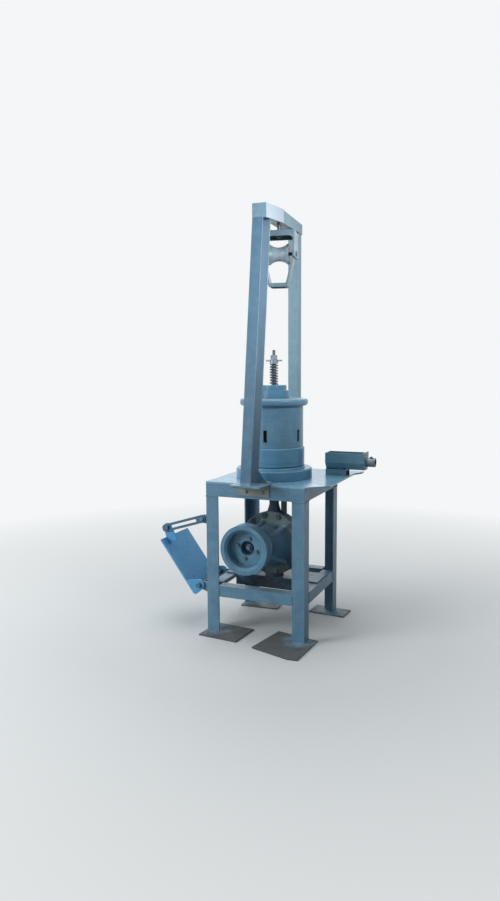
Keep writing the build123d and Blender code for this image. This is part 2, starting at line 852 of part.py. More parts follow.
# Guide fork: a yoke of plate with deep lips, closed under the roller by a narrower bent strap
half_fork = fork_width / 2
inner_fork = half_fork - fork_wall
lip_bottom = fork_top - fork_lip
leg_end = axle_z - fork_leg_drop
half_bottom = fork_foot_width / 2
with BuildPart() as guide_fork:
    with BuildSketch(fork_face) as yoke:
        with BuildLine():
            Polyline(
                (-half_fork, leg_end),
                (-half_fork, fork_top),
                (half_fork, fork_top),
                (half_fork, leg_end),
                (inner_fork, leg_end),
                (inner_fork, lip_bottom),
                (-inner_fork, lip_bottom),
                (-inner_fork, leg_end),
                close=True,
            )
        make_face()
        under_lips = Vector(0, lip_bottom - fork_lip, 0)
        fillet(yoke.vertices().sort_by_distance(under_lips)[0:2], fork_lip_round)
    extrude(amount=fork_depth / 2, both=True)
    with BuildSketch(fork_face):
        with BuildLine():
            Polyline(
                (-inner_fork, fork_top - fork_wall),
                (inner_fork, fork_top - fork_wall),
                (inner_fork, lip_bottom - fork_lip_round),
                (-inner_fork, lip_bottom - fork_lip_round),
                close=True,
            )
        make_face()
    extrude(amount=fork_depth / 2 - fork_lip_wall, both=True, mode=Mode.SUBTRACT)
    with BuildSketch(fork_face) as strap:
        with BuildLine():
            Polyline(
                (-inner_fork, leg_end + strap_lap),
                (-inner_fork, leg_end),
                (-half_bottom, fork_bottom),
                (half_bottom, fork_bottom),
                (inner_fork, leg_end),
                (inner_fork, leg_end + strap_lap),
                (inner_fork - strap_wall, leg_end + strap_lap),
                (inner_fork - strap_wall, leg_end),
                (half_bottom - strap_wall, fork_bottom + fork_foot_thickness),
                (-half_bottom + strap_wall, fork_bottom + fork_foot_thickness),
                (-inner_fork + strap_wall, leg_end),
                (-inner_fork + strap_wall, leg_end + strap_lap),
                close=True,
            )
        make_face()
        fillet(strap.vertices().group_by(Axis.Y)[0], strap_round)
        fillet(strap.vertices().sort_by_distance(Vector(0, fork_bottom + strap_lap, 0))[0:2], strap_round / 2)
    extrude(amount=strap_depth / 2, both=True)
    with BuildSketch(fork_face):
        with BuildLine():
            Polyline(
                (-half_bottom + strap_round, fork_bottom),
                (half_bottom - strap_round, fork_bottom),
                (half_bottom - strap_round, fork_bottom + fork_foot_thickness - strap_wall),
                (-half_bottom + strap_round, fork_bottom + fork_foot_thickness - strap_wall),
                close=True,
            )
        make_face()
    extrude(amount=strap_depth / 2 - strap_wall, both=True, mode=Mode.SUBTRACT)
    with BuildSketch(across_fork(-half_fork)):
        Circle(axle_radius + running_gap)
    extrude(amount=fork_width, mode=Mode.SUBTRACT)
    with BuildSketch(under_beam(fork_top)):
        Circle(fork_bolt_radius + running_gap)
    extrude(amount=-fork_wall, mode=Mode.SUBTRACT)
save(guide_fork.part, "guide_fork")

# Bolt and nut that the fork swivels on
nut_top = fork_top - fork_wall - seat_gap
with BuildPart() as fork_bolt:
    with BuildSketch(under_beam(rear_clear_height)):
        Circle(fork_bolt_radius)
    extrude(amount=nut_top - fork_nut_height - room - rear_clear_height)
    with BuildSketch(under_beam(nut_top)):
        RegularPolygon(fork_nut_size / 2, 6, major_radius=False)
    extrude(amount=-fork_nut_height)
save(fork_bolt.part, "fork_bolt")

# Roller axle and the waisted roller
with BuildPart() as roller_axle:
    with BuildSketch(across_fork(-half_fork - axle_overhang)):
        Circle(axle_radius)
    extrude(amount=fork_width + 2 * axle_overhang)
save(roller_axle.part, "roller_axle")

half_roller = roller_length / 2
bore_z = axle_z + axle_radius + running_gap
rim_z = axle_z + roller_rim_radius
with BuildPart() as guide_roller:
    with BuildSketch(fork_face):
        with BuildLine():
            Line((-half_roller, bore_z), (half_roller, bore_z))
            Line((half_roller, bore_z), (half_roller, rim_z))
            Line((half_roller, rim_z), (half_roller - roller_lip, rim_z))
            ThreePointArc(
                (half_roller - roller_lip, rim_z),
                (0, axle_z + roller_waist_radius),
                (-half_roller + roller_lip, rim_z),
            )
            Line((-half_roller + roller_lip, rim_z), (-half_roller, rim_z))
            Line((-half_roller, rim_z), (-half_roller, bore_z))
        make_face()
    revolve(axis=Axis((drum_x + fork_x, drum_y + fork_y, axle_z), tuple(fork_way)))
save(guide_roller.part, "guide_roller")

# The motor plate leans out from its hinge. Points beside it are given along it and off its face
plate_up = Vector(-math.sin(lean), 0, math.cos(lean))
plate_in = Vector(math.cos(lean), 0, math.sin(lean))
plate_foot = Vector(hinge_x, 0, hinge_z) - plate_in * hinge_offset
plate_back = plate_front + plate_width


def beside_plate(up, inward):
    """A point in front view, up along the motor plate and inward from its inner face."""
    point = plate_foot + plate_up * up + plate_in * inward
    return (point.X, point.Z)


# Motor plate with four holes for the motor, and the tongue that carries the clamp bolt
bolt_offset = Vector(arm_bolt_x, 0, arm_bolt_z) - plate_foot
bolt_up = bolt_offset.dot(plate_up)
bolt_in = bolt_offset.dot(plate_in)
tongue_front = arm_y + face_gap
motor_face = Plane(
    origin=Vector(drum_x, drum_y + motor_hole_y, 0) + plate_foot + plate_up * motor_hole_up,
    x_dir=(0, 1, 0),
    z_dir=plate_in,
)
with BuildPart() as motor_plate:
    with BuildSketch(facing_front(plate_front)):
        with BuildLine():
            Polyline(
                beside_plate(0, 0),
                beside_plate(plate_length, 0),
                beside_plate(plate_length, -plate_thickness),
                beside_plate(0, -plate_thickness),
                close=True,
            )
        make_face()
    extrude(amount=-plate_width)
    with BuildSketch(motor_face):
        with GridLocations(motor_hole_pitch_y, motor_hole_pitch_up, 2, 2):
            Circle(motor_hole_radius)
    extrude(amount=-plate_thickness, mode=Mode.SUBTRACT)
    with BuildSketch(facing_front(tongue_front)):
        with BuildLine():
            Polyline(
                beside_plate(plate_length - tongue_foot, 0),
                beside_plate(plate_length, 0),
                beside_plate(bolt_up, bolt_in - tongue_width / 2),
                beside_plate(bolt_up, bolt_in + tongue_width / 2),
                beside_plate(plate_length - tongue_foot, tongue_width),
                close=True,
            )
        make_face()
        with Locations((arm_bolt_x, arm_bolt_z)):
            Circle(tongue_width / 2)
    extrude(amount=-arm_thickness)
save(motor_plate.part, "motor_plate")

# Ears under the motor plate, front and rear, that turn on the hinge rod
ear_faces = (plate_front, plate_back - ear_thickness)
with BuildPart() as motor_ears:
    for ear_face in ear_faces:
        with BuildSketch(facing_front(ear_face)):
            with BuildLine():
                Polyline(
                    beside_plate(0, 0),
                    beside_plate(2 * ear_radius, 0),
                    beside_plate(ear_radius, hinge_offset),
                    beside_plate(-ear_radius / 2, hinge_offset),
                    close=True,
                )
            make_face()
            with Locations((hinge_x, hinge_z)):
                Circle(ear_radius)
            with Locations((hinge_x + ear_lobe_x, hinge_z - ear_lobe_drop)):
                Circle(ear_lobe_radius)
            make_hull()
            with BuildLine():
                Polyline(
                    beside_plate(0, 0),
                    beside_plate(plate_length, 0),
                    beside_plate(plate_length, -2 * ear_radius),
                    beside_plate(0, -2 * ear_radius),
                    close=True,
                )
            make_face(mode=Mode.SUBTRACT)
            with Locations((hinge_x, hinge_z)):
                Circle(hinge_radius + running_gap, mode=Mode.SUBTRACT)
        extrude(amount=-ear_thickness)
save(motor_ears.part, "motor_ears")

# Hinge lugs beside the ears, welded to the front leg and the left rail, and the rod through them
lug_faces = (plate_front + ear_thickness + 2, plate_back - 2 * ear_thickness - 2)
with BuildPart() as hinge_lugs:
    for lug_face in lug_faces:
        with BuildSketch(facing_front(lug_face)):
            with BuildLine():
                Polyline(
                    (-half_width, hinge_z + hinge_lug_radius),
                    (-half_width, hinge_z - 2 * hinge_lug_radius),
                    (hinge_x, hinge_z - hinge_lug_radius),
                    (hinge_x, hinge_z + hinge_lug_radius),
                    close=True,
                )
            make_face()
            with Locations((hinge_x, hinge_z)):
                Circle(hinge_lug_radius)
                Circle(hinge_radius + running_gap, mode=Mode.SUBTRACT)
        extrude(amount=-ear_thickness)
save(hinge_lugs.part, "hinge_lugs")

with BuildPart() as hinge_rod:
    with BuildSketch(facing_front(plate_front - room)):
        with Locations((hinge_x, hinge_z)):
            Circle(hinge_radius)
    extrude(amount=-plate_width - 2 * room)
save(hinge_rod.part, "hinge_rod")

# Slotted arm from its lug on the front leg to the clamp bolt
arm_plane = Plane(
    origin=(drum_x + arm_pivot_x, drum_y + arm_y, arm_pivot_z), x_dir=arm_run, z_dir=(0, -1, 0)
)
with BuildPart() as slotted_arm:
    with BuildSketch(arm_plane):
        with Locations((slot_reach / 2, 0)):
            SlotOverall(slot_reach + arm_width, arm_width)
        with Locations(((arm_slot_start + slot_reach) / 2, 0)):
            SlotOverall(slot_reach - arm_slot_start, arm_slot_width, mode=Mode.SUBTRACT)
        Circle(arm_bolt_radius + running_gap, mode=Mode.SUBTRACT)
    extrude(amount=arm_thickness)
save(slotted_arm.part, "slotted_arm")


def arm_bolt(x, z):
    """A bolt through the slotted arm, from the face behind the arm to its head in front."""
    with BuildPart() as bolt:
        with BuildSketch(facing_front(tongue_front)):
            with Locations((x, z)):
                Circle(arm_bolt_radius)
        extrude(amount=face_gap + arm_thickness + seat_gap)
        with BuildSketch(facing_front(arm_y - arm_thickness - seat_gap)):
            with Locations((x, z)):
                RegularPolygon(arm_bolt_head / 2, 6, major_radius=False)
        extrude(amount=arm_bolt_head_height)
    return bolt.part


save(arm_bolt(arm_bolt_x, arm_bolt_z), "clamp_bolt")

# Lug on the front leg's left face, behind the arm, with the bolt that the arm turns on
with BuildPart() as arm_lug:
    add(arm_bolt(arm_pivot_x, arm_pivot_z))
    with BuildSketch(facing_front(tongue_front)):
        with BuildLine():
            Polyline(
                (-half_width, arm_pivot_z + arm_lug_height / 2),
                (-half_width, arm_pivot_z - arm_lug_height / 2),
                (arm_pivot_x, arm_pivot_z - arm_width / 2),
                (arm_pivot_x, arm_pivot_z + arm_width / 2),
                close=True,
            )
        make_face()
        with Locations((arm_pivot_x, arm_pivot_z)):
            Circle(arm_width / 2)
    extrude(amount=-arm_lug_thickness)
save(arm_lug.part, "arm_lug")

# Die box: a trough with inward-slanting lower walls, closed on the right by a thicker plate
half_box = box_depth / 2
half_box_foot = box_foot_depth / 2
with BuildPart() as die_box:
    with BuildSketch(facing_right(box_left)):
        with BuildLine():
            Polyline(
                (box_y - half_box, box_top),
                (box_y - half_box, box_break),
                (box_y - half_box_foot, box_bottom),
                (box_y + half_box_foot, box_bottom),
                (box_y + half_box, box_break),
                (box_y + half_box, box_top),
                close=True,
            )
        make_face()
    extrude(amount=box_length)
    with BuildSketch(facing_right(box_left + box_wall)):
        with BuildLine():
            Polyline(
                (box_y - half_box + box_wall, box_top),
                (box_y - half_box + box_wall, box_break),
                (box_y - half_box_foot + box_wall, box_bottom + box_wall),
                (box_y + half_box_foot - box_wall, box_bottom + box_wall),
                (box_y + half_box - box_wall, box_break),
                (box_y + half_box - box_wall, box_top),
                close=True,
            )
        make_face()
    extrude(amount=box_length - box_wall, mode=Mode.SUBTRACT)
    with BuildSketch(facing_right(box_right)):
        with BuildLine():
            Polyline(
                (box_y - half_box, box_top + box_end_rise),
                (box_y - half_box, box_break),
                (box_y - half_box_foot, box_bottom),
                (box_y + half_box_foot, box_bottom),
                (box_y + half_box, box_break),
                (box_y + half_box, box_top + box_end_rise),
                close=True,
            )
        make_face()
    extrude(amount=box_end_thickness)
    with BuildSketch(facing_right(box_left)):
        with Locations((box_y, die_height)):
            Circle(box_mouth_radius)
    extrude(amount=box_length + box_end_thickness, mode=Mode.SUBTRACT)
save(die_box.part, "die_box")

# Stand: a short channel, web up, between the table and the die box
with BuildPart() as box_stand:
    with BuildSketch(facing_right(box_left)):
        with BuildLine():
            Polyline(
                (box_y - stand_depth / 2, table_height),
                (box_y - stand_depth / 2, box_bottom),
                (box_y + stand_depth / 2, box_bottom),
                (box_y + stand_depth / 2, table_height),
                (box_y + stand_depth / 2 - stand_wall, table_height),
                (box_y + stand_depth / 2 - stand_wall, box_bottom - stand_wall),
                (box_y - stand_depth / 2 + stand_wall, box_bottom - stand_wall),
                (box_y - stand_depth / 2 + stand_wall, table_height),
                close=True,
            )
        make_face()
    extrude(amount=stand_length)
save(box_stand.part, "box_stand")

# Tube on the box's right end, where the wire comes in
with BuildPart() as wire_tube:
    with BuildSketch(facing_right(box_right + box_end_thickness)):
        with Locations((box_y, die_height)):
            Circle(tube_radius)
            Circle(tube_radius - tube_wall, mode=Mode.SUBTRACT)
    extrude(amount=tube_length)
save(wire_tube.part, "wire_tube")
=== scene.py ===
"""Single-block tie wire drawing machine, dressed for its picture.

The frame gives the machine's solids. This script gives them their paint, iron and steel, adds the
bolts, welds, threads and turned details that the solids leave out, and sets up a plain studio.
Lengths are named in millimetres and turned to metres by MM.
"""

import logging
import math
from dataclasses import dataclass
from enum import Enum

import bpy
import numpy as np
from mathutils import Matrix, Vector


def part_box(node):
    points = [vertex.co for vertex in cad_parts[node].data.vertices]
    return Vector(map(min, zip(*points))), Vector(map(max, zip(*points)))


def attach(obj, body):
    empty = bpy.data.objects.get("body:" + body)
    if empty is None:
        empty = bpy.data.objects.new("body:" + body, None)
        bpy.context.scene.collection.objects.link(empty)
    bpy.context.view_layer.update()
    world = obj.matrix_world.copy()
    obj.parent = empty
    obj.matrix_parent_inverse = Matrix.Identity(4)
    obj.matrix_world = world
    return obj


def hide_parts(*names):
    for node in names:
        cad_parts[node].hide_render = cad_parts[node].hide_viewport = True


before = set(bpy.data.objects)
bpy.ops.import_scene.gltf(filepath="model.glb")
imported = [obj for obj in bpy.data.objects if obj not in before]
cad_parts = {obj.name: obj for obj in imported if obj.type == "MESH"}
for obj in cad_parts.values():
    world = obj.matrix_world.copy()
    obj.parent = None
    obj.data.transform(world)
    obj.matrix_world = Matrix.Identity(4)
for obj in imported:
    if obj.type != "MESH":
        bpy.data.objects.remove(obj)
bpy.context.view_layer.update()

MM = 0.001
LOG = logging.getLogger("tie_wire_machine")

# The ways that the machine's top and its front look
UP = Vector((0, 0, 1))
FRONT = Vector((0, -1, 0))

# Length of one ripple in a weld bead, in millimetres
RIPPLE = 5.0

# Thickness of the gear nose's flange, in millimetres
FLANGE_THICKNESS = 20.0

# Sockets of the Mix node by place, because its colour and number sockets share their names
MIX_FACTOR = 0
MIX_COLOUR_A = 6
MIX_COLOUR_B = 7
MIX_COLOUR_OUT = 2

# The table's legs and sides, anticlockwise from the front
LEGS = ("front_left_leg", "front_right_leg", "rear_right_leg", "rear_left_leg")
SIDES = ("front", "right", "rear", "left")


# ---------------------------------------------------------------- shapes


@dataclass
class Surface:
    """A closed surface: its points in metres and its faces as whole arrays of indices."""

    points: np.ndarray
    faces: list[np.ndarray]

    def placed(self, origin: Vector, axis: Vector, spin: float = 0.0) -> "Surface":
        """Stands the surface up along an axis.

        Args:
            origin: where the surface's own origin goes, in metres.
            axis: where its own Z points afterwards.
            spin: its turn about that axis, in degrees.

        Returns:
            The placed surface.
        """
        turn = axis.to_track_quat("Z", "Y").to_matrix() @ Matrix.Rotation(math.radians(spin), 3, "Z")
        points = self.points @ np.array(turn).T + np.array(origin)
        return Surface(points, self.faces)

    def raised(self, height: float) -> "Surface":
        """The same surface, that many millimetres higher."""
        return Surface(self.points + np.array([0, 0, height * MM]), self.faces)


def joined(parts: list[Surface]) -> Surface:
    """Puts several surfaces in one.

    Args:
        parts: the surfaces, which keep their own points.

    Returns:
        One surface with all their faces.
    """
    starts = np.cumsum([0] + [len(part.points) for part in parts])
    faces = [block + start for part, start in zip(parts, starts) for block in part.faces]
    return Surface(np.concatenate([part.points for part in parts]), faces)


def column_angles(columns: int) -> np.ndarray:
    """Even steps round a full turn, in radians."""
    return 2 * np.pi * np.arange(columns) / columns


def wrapped_quads(rows: int, columns: int, close_rows: bool = False) -> np.ndarray:
    """Faces of a grid whose columns run round and meet again.

    Args:
        rows: rows of points.
        columns: points in each row.
        close_rows: whether the last row meets the first one as well.

    Returns:
        One row of four indices for each face.
    """
    last = rows if close_rows else rows - 1
    row, column = np.meshgrid(np.arange(last), np.arange(columns), indexing="ij")
    row, column = row.ravel(), column.ravel()
    here, above = row * columns, (row + 1) % rows * columns
    beside = (column + 1) % columns
    return np.stack([here + column, here + beside, above + beside, above + column], axis=1)


def capped(grid: np.ndarray, poles: np.ndarray, columns: int) -> Surface:
    """Closes both ends of a tube.

    Args:
        grid: the tube's points in metres, row after row.
        poles: the point that closes each end.
        columns: points in each row.

    Returns:
        The closed surface.
    """
    rows = len(grid) // columns
    turn = np.arange(columns)
    beside = (turn + 1) % columns
    pole = np.full(columns, rows * columns)
    last = (rows - 1) * columns
    foot = np.stack([pole, beside, turn], axis=1)
    top = np.stack([pole + 1, last + turn, last + beside], axis=1)
    return Surface(np.concatenate([grid, poles]), [wrapped_quads(rows, columns), foot, top])


def round_rows(radii: np.ndarray, heights: np.ndarray, columns: int) -> np.ndarray:
    """Rows of points round an axis: the one at angle a is (R cos a, R sin a, H).

    Args:
        radii: radius for each row, or for each row and angle.
        heights: height, likewise, rising along the outside.
        columns: points round the axis.

    Returns:
        The points, row after row.
    """
    angle = column_angles(columns)
    radius, height = (
        np.asarray(rows, float).reshape(len(rows), -1) + np.zeros(columns) for rows in (radii, heights)
    )
    return np.stack([radius * np.cos(angle), radius * np.sin(angle), height], axis=-1).reshape(-1, 3)


def lathe(radii: np.ndarray, heights: np.ndarray, columns: int = 24) -> Surface:
    """A turned surface, drawn to a pole at both ends.

    Args:
        radii: radius in millimetres for each row, or for each row and angle.
        heights: height in millimetres, likewise.
        columns: points round the axis.

    Returns:
        The closed surface.
    """
    grid = round_rows(radii, heights, columns)
    poles = np.array([[0, 0, row[:, 2].mean()] for row in (grid[:columns], grid[-columns:])])
    return capped(grid * MM, poles * MM, columns)


def turned_ring(profile: list[tuple[float, float]], columns: int) -> Surface:
    """A closed profile carried round the axis, such as a washer's.

    Args:
        profile: radius and height of each point in millimetres, anticlockwise.
        columns: points round the axis.

    Returns:
        The closed ring.
    """
    radii, heights = np.array(profile, float).T
    quads = wrapped_quads(len(profile), columns, close_rows=True)
    return Surface(round_rows(radii, heights, columns) * MM, [quads])


def hexagon_head(across_flats: float, height: float) -> Surface:
    """A forged hexagon with its corners turned off at the top.

    The radius at angle a is the apothem over the cosine of the angle from the nearest flat's middle,
    and the turned corner falls by about half of what the hexagon stands out past its apothem.

    Args:
        across_flats: spanner size in millimetres.
        height: height in millimetres.

    Returns:
        The head, standing on its own origin.
    """
    columns = 24
    seat_share, crown_share, dish_share, corner_fall = 0.97, 0.96, 0.62, 0.55
    foot_rise, corner_drop, dish_height = 0.06, 0.04, 0.96
    apothem = across_flats / 2
    hexagon = apothem / np.cos(column_angles(columns) % (np.pi / 3) - np.pi / 6)
    flat, level = np.full(columns, apothem), np.ones(columns)
    radii = np.stack([hexagon * seat_share, hexagon, hexagon, flat * crown_share, flat * dish_share])
    heights = np.stack([
        level * 0,
        level * (height * foot_rise),
        height - (hexagon - apothem) * corner_fall - height * corner_drop,
        level * height,
        level * (height * dish_height),
    ])
    return lathe(radii, heights, columns)


def washer(radius: float, bore: float, thickness: float) -> Surface:
    """A punched washer with a rolled outer edge.

    Args:
        radius: outer radius in millimetres.
        bore: radius of the hole.
        thickness: thickness.

    Returns:
        The washer, standing on its own origin.
    """
    edge = thickness * 0.3
    profile = [
        (bore, 0), (radius - edge, 0), (radius, edge), (radius, thickness - edge),
        (radius - edge, thickness), (bore, thickness),
    ]
    return turned_ring(profile, 32)


def threaded_rod(root: float, depth: float, pitch: float, length: float) -> Surface:
    """A rod with a screw thread.

    The radius is the root plus the depth times a triangle wave of height over pitch less the turn.

    Args:
        root: root radius in millimetres.
        depth: height of the thread.
        pitch: rise of the thread in one turn.
        length: length of the rod.

    Returns:
        The rod, standing on its own origin.
    """
    columns, rows_a_turn = 20, 6
    rows = max(4, int(length / pitch * rows_a_turn))
    height = np.repeat(np.linspace(0, length, rows)[:, None], columns, axis=1)
    wave = np.abs(((height / pitch - np.arange(columns) / columns) % 1.0) * 2 - 1)
    ends = np.clip(np.minimum(height, length - height) / pitch, 0, 1)
    return lathe(root + depth * wave * ends, height, columns)


def bolt_head(across_flats: float, height: float, shank: float = 0.0) -> Surface:
    """A hexagon on its washer, with the shank's end above it where it is a nut.

    Args:
        across_flats: spanner size in millimetres.
        height: height of the hexagon.
        shank: how far the threaded end stands out of a nut, or nothing for a head.

    Returns:
        The fastener, standing on its own origin.
    """
    rim, bore, root, depth, pitch = (across_flats * share for share in (0.95, 0.25, 0.29, 0.03, 0.09))
    plate, sunk = across_flats * 0.1, height * 0.1
    parts = [washer(rim, bore, plate), hexagon_head(across_flats, height).raised(plate)]
    if shank:
        parts.append(threaded_rod(root, depth, pitch, sunk + shank).raised(plate + height * 0.9))
    return joined(parts)


def bead(path: list[list[float]], radius: float, seed: int, closed: bool = False) -> Surface:
    """A weld bead: a round section carried along a path, swelling once a ripple and a little at random.

    Args:
        path: corner points of the path in metres.
        radius: mean radius in millimetres.
        seed: starts the random swell.
        closed: whether the path meets its own start.

    Returns:
        The closed bead.
    """
    columns, rows_a_ripple, even_swell, random_swell = 8, 3, 0.16, 0.07
    ends = np.array([*path, path[0]] if closed else path)
    legs = np.linalg.norm(np.diff(ends, axis=0), axis=1)
    reach = np.concatenate([[0], np.cumsum(legs)])
    count = max(4, int(reach[-1] / (RIPPLE * MM) * rows_a_ripple))
    along = np.linspace(0, reach[-1], count, endpoint=not closed)
    middle = np.stack([np.interp(along, reach, ends[:, axis]) for axis in range(3)], axis=1)
    if closed:
        tangent = np.roll(middle, -1, axis=0) - np.roll(middle, 1, axis=0)
    else:
        tangent = np.gradient(middle, axis=0)
    tangent /= np.linalg.norm(tangent, axis=1)[:, None]
    helper = np.where(np.abs(tangent[:, 2:]) > 0.9, [[1.0, 0.0, 0.0]], [[0.0, 0.0, 1.0]])
    side = np.cross(helper, tangent)
    side /= np.linalg.norm(side, axis=1)[:, None]
    upper = np.cross(tangent, side)
    random = np.random.default_rng(seed)
    swell = 1 + even_swell * np.cos(2 * np.pi * along / (RIPPLE * MM)) + random.normal(0, random_swell, count)
    angle = column_angles(columns)
    section = (
        np.cos(angle)[None, :, None] * side[:, None, :] + np.sin(angle)[None, :, None] * upper[:, None, :]
    )
    grid = (middle[:, None, :] + (radius * MM * swell)[:, None, None] * section).reshape(-1, 3)
    if closed:
        return Surface(grid, [wrapped_quads(count, columns, close_rows=True)])
    return capped(grid, middle[[0, -1]], columns)


def rectangle(low: Vector, high: Vector, height: float) -> list[list[float]]:
    """The four corners of a box seen from above, at one height, for a bead that runs round it."""
    corners = ((low.x, low.y), (high.x, low.y), (high.x, high.y), (low.x, high.y))
    return [[x, y, height] for x, y in corners]


# ---------------------------------------------------------------- node recipes

Socket = bpy.types.NodeSocket

# Each colour with its pattern and the share of it that shows there, and each pattern with its height
Layers = list[tuple[Socket, float, str]]
Heights = list[tuple[Socket, float]]


def linear(colour: str) -> tuple[float, float, float, float]:
    """Turns a colour as painters write it to the renderer's own.

    Args:
        colour: sRGB colour as six hex digits.

    Returns:
        Linear red, green, blue and full alpha.
    """
    parts = [int(colour[start:start + 2], 16) / 255 for start in (0, 2, 4)]
    flat = [part / 12.92 if part <= 0.04045 else ((part + 0.055) / 1.055) ** 2.4 for part in parts]
    return (flat[0], flat[1], flat[2], 1.0)


class Grain(Enum):
    """Which way a brush, a roller or a lathe tool ran, as the stretch of a pattern along X, Y and Z."""

    EVEN = (1.0, 1.0, 1.0)
    UPRIGHT = (1.0, 1.0, 0.06)
    ACROSS = (0.08, 1.0, 1.0)
    ALONG = (1.0, 0.08, 1.0)
    TURNED = (0.03, 0.03, 1.0)


@dataclass
class Recipe:
    """A node tree being written. Each method adds nodes and returns the socket with their result.

    Patterns and masks run from 0 to 1.
    """

    tree: bpy.types.NodeTree

    @classmethod
    def cleared(cls, owner: bpy.types.Material | bpy.types.World) -> "Recipe":
        """Starts a material's or the world's recipe from nothing.

        Args:
            owner: the material or the world.

        Returns:
            The empty recipe.
        """
        owner.use_nodes = True
        owner.node_tree.nodes.clear()
        return cls(owner.node_tree)

    def add(
        self, kind: str, sockets: dict[str | int, object] | None = None, **settings: object
    ) -> bpy.types.Node:
        """Adds one node with its settings and links.

        Args:
            kind: the node's type name.
            sockets: for each input socket a constant or the socket that feeds it.
            settings: its own settings by name.

        Returns:
            The node.
        """
        node = self.tree.nodes.new(kind)
        for name, value in settings.items():
            setattr(node, name, value)
        for key, value in (sockets or {}).items():
            if isinstance(value, Socket):
                self.tree.links.new(value, node.inputs[key])
            else:
                node.inputs[key].default_value = value
        return node

    def maths(self, operation: str, *numbers: object) -> Socket:
        """The result of one operation on sockets and constants."""
        return self.add("ShaderNodeMath", dict(enumerate(numbers)), operation=operation).outputs["Value"]

    def vectors(self, operation: str, *numbers: object) -> bpy.types.Node:
        """One operation on vectors."""
        return self.add("ShaderNodeVectorMath", dict(enumerate(numbers)), operation=operation)

    def ramp(self, value: Socket, start: float, end: float) -> Socket:
        """A value taken to 0 at the start and 1 at the end, and no further on either side."""
        sockets = {"Value": value, "From Min": start, "From Max": end}
        return self.add("ShaderNodeMapRange", sockets, clamp=True).outputs["Result"]

    def spread(self, pattern: Socket, low: float, high: float) -> Socket:
        """A pattern spread between two values, such as two roughnesses."""
        sockets = {"Value": pattern, "To Min": low, "To Max": high}
        return self.add("ShaderNodeMapRange", sockets, clamp=True).outputs["Result"]

    def part(self, vector: Socket, axis: str) -> Socket:
        """One part of a vector: X, Y or Z."""
        return self.add("ShaderNodeSeparateXYZ", {"Vector": vector}).outputs[axis]

    def place(self) -> Socket:
        """The point's own place in metres."""
        return self.add("ShaderNodeTexCoord").outputs["Object"]

    def normal(self) -> Socket:
        """The way that the face looks."""
        return self.add("ShaderNodeNewGeometry").outputs["Normal"]

    def rounded(self, radius: float) -> Socket:
        """The normal over outer edges of that radius, in millimetres."""
        return self.add("ShaderNodeBevel", {"Radius": radius * MM}, samples=6).outputs["Normal"]

    def openness(self, reach: float, samples: int = 6) -> Socket:
        """How open the point lies within a reach, in millimetres: 1 in the open, 0 deep inside."""
        return self.add("ShaderNodeAmbientOcclusion", {"Distance": reach * MM}, samples=samples).outputs["AO"]

    def mix(self, amount: Socket, below: object, above: object) -> Socket:
        """One colour laid over another."""
        sockets = {MIX_FACTOR: amount, MIX_COLOUR_A: below, MIX_COLOUR_B: above}
        return self.add("ShaderNodeMix", sockets, data_type="RGBA").outputs[MIX_COLOUR_OUT]

    def product(self, first: Socket, *others: object) -> Socket:
        """Multiplies sockets and constants.

        Args:
            first: the first socket.
            others: what it is multiplied by.

        Returns:
            The socket with the product.
        """
        for other in others:
            first = self.maths("MULTIPLY", first, other)
        return first

    def beyond(self, axis: str, start: float, end: float) -> Socket:
        """How far a point lies between two planes square to an axis, in metres."""
        return self.ramp(self.part(self.place(), axis), start, end)

    def facing(self, axis: str, start: float, end: float) -> Socket:
        """The faces that look along an axis, or against it where both numbers are below 0."""
        return self.ramp(self.part(self.normal(), axis), start, end)

    def from_line(self, x: float, y: float) -> Socket:
        """Distance in metres from the upright line through a point on the floor.

        Args:
            x: the point's X in metres.
            y: its Y.

        Returns:
            The socket with the distance.
        """
        offset = self.vectors("SUBTRACT", self.place(), (x, y, 0.0)).outputs["Vector"]
        level = self.vectors("MULTIPLY", offset, (1.0, 1.0, 0.0)).outputs["Vector"]
        return self.vectors("LENGTH", level).outputs["Value"]

    def mottle(
        self, patch: float, low: float, high: float, grain: Grain = Grain.EVEN, detail: float = 4.0
    ) -> Socket:
        """Random patches of a real size.

        Args:
            patch: size of a patch in millimetres.
            low: noise value that becomes 0.
            high: noise value that becomes 1.
            grain: which way the patches are drawn out.
            detail: octaves of the noise.

        Returns:
            The socket with the pattern.
        """
        drawn = self.add("ShaderNodeMapping", {"Vector": self.place(), "Scale": grain.value})
        sockets = {"Vector": drawn.outputs["Vector"], "Scale": 1 / (patch * MM), "Detail": detail}
        noise = self.add("ShaderNodeTexNoise", {**sockets, "Roughness": 0.58}, normalize=True)
        return self.ramp(noise.outputs["Fac"], low, high)

    def worn_edges(self, reach: float, breakup: float) -> Socket:
        """Where hands, chains and tools rub: outer edges, broken up by patches.

        The normal of a rounded edge is set against the face's own, and where they part is an edge.

        Args:
            reach: how far from the edge the wear shows, in millimetres.
            breakup: size of the patches that it keeps to, in millimetres.

        Returns:
            The socket, 1 where the coat is worn.
        """
        flat, sharp = 0.985, 0.86
        turn = self.vectors("DOT_PRODUCT", self.rounded(reach), self.normal()).outputs["Value"]
        return self.product(self.ramp(turn, flat, sharp), self.mottle(breakup, 0.46, 0.66))

    def corner_dirt_and_shade(self, reach: float) -> Socket:
        """Dirt and painted shade in corners and gaps within a reach, in millimetres, broken up by patches."""
        return self.product(self.ramp(self.openness(reach), 0.72, 0.22), self.mottle(26, 0.30, 0.62))

    def hollow_light_mask(self, reach: float = 150.0) -> Socket:
        """Painted light for the insides of open sections: 1 where the point lies enclosed within the reach.
        """
        return self.ramp(self.openness(reach, samples=8), 0.86, 0.6)

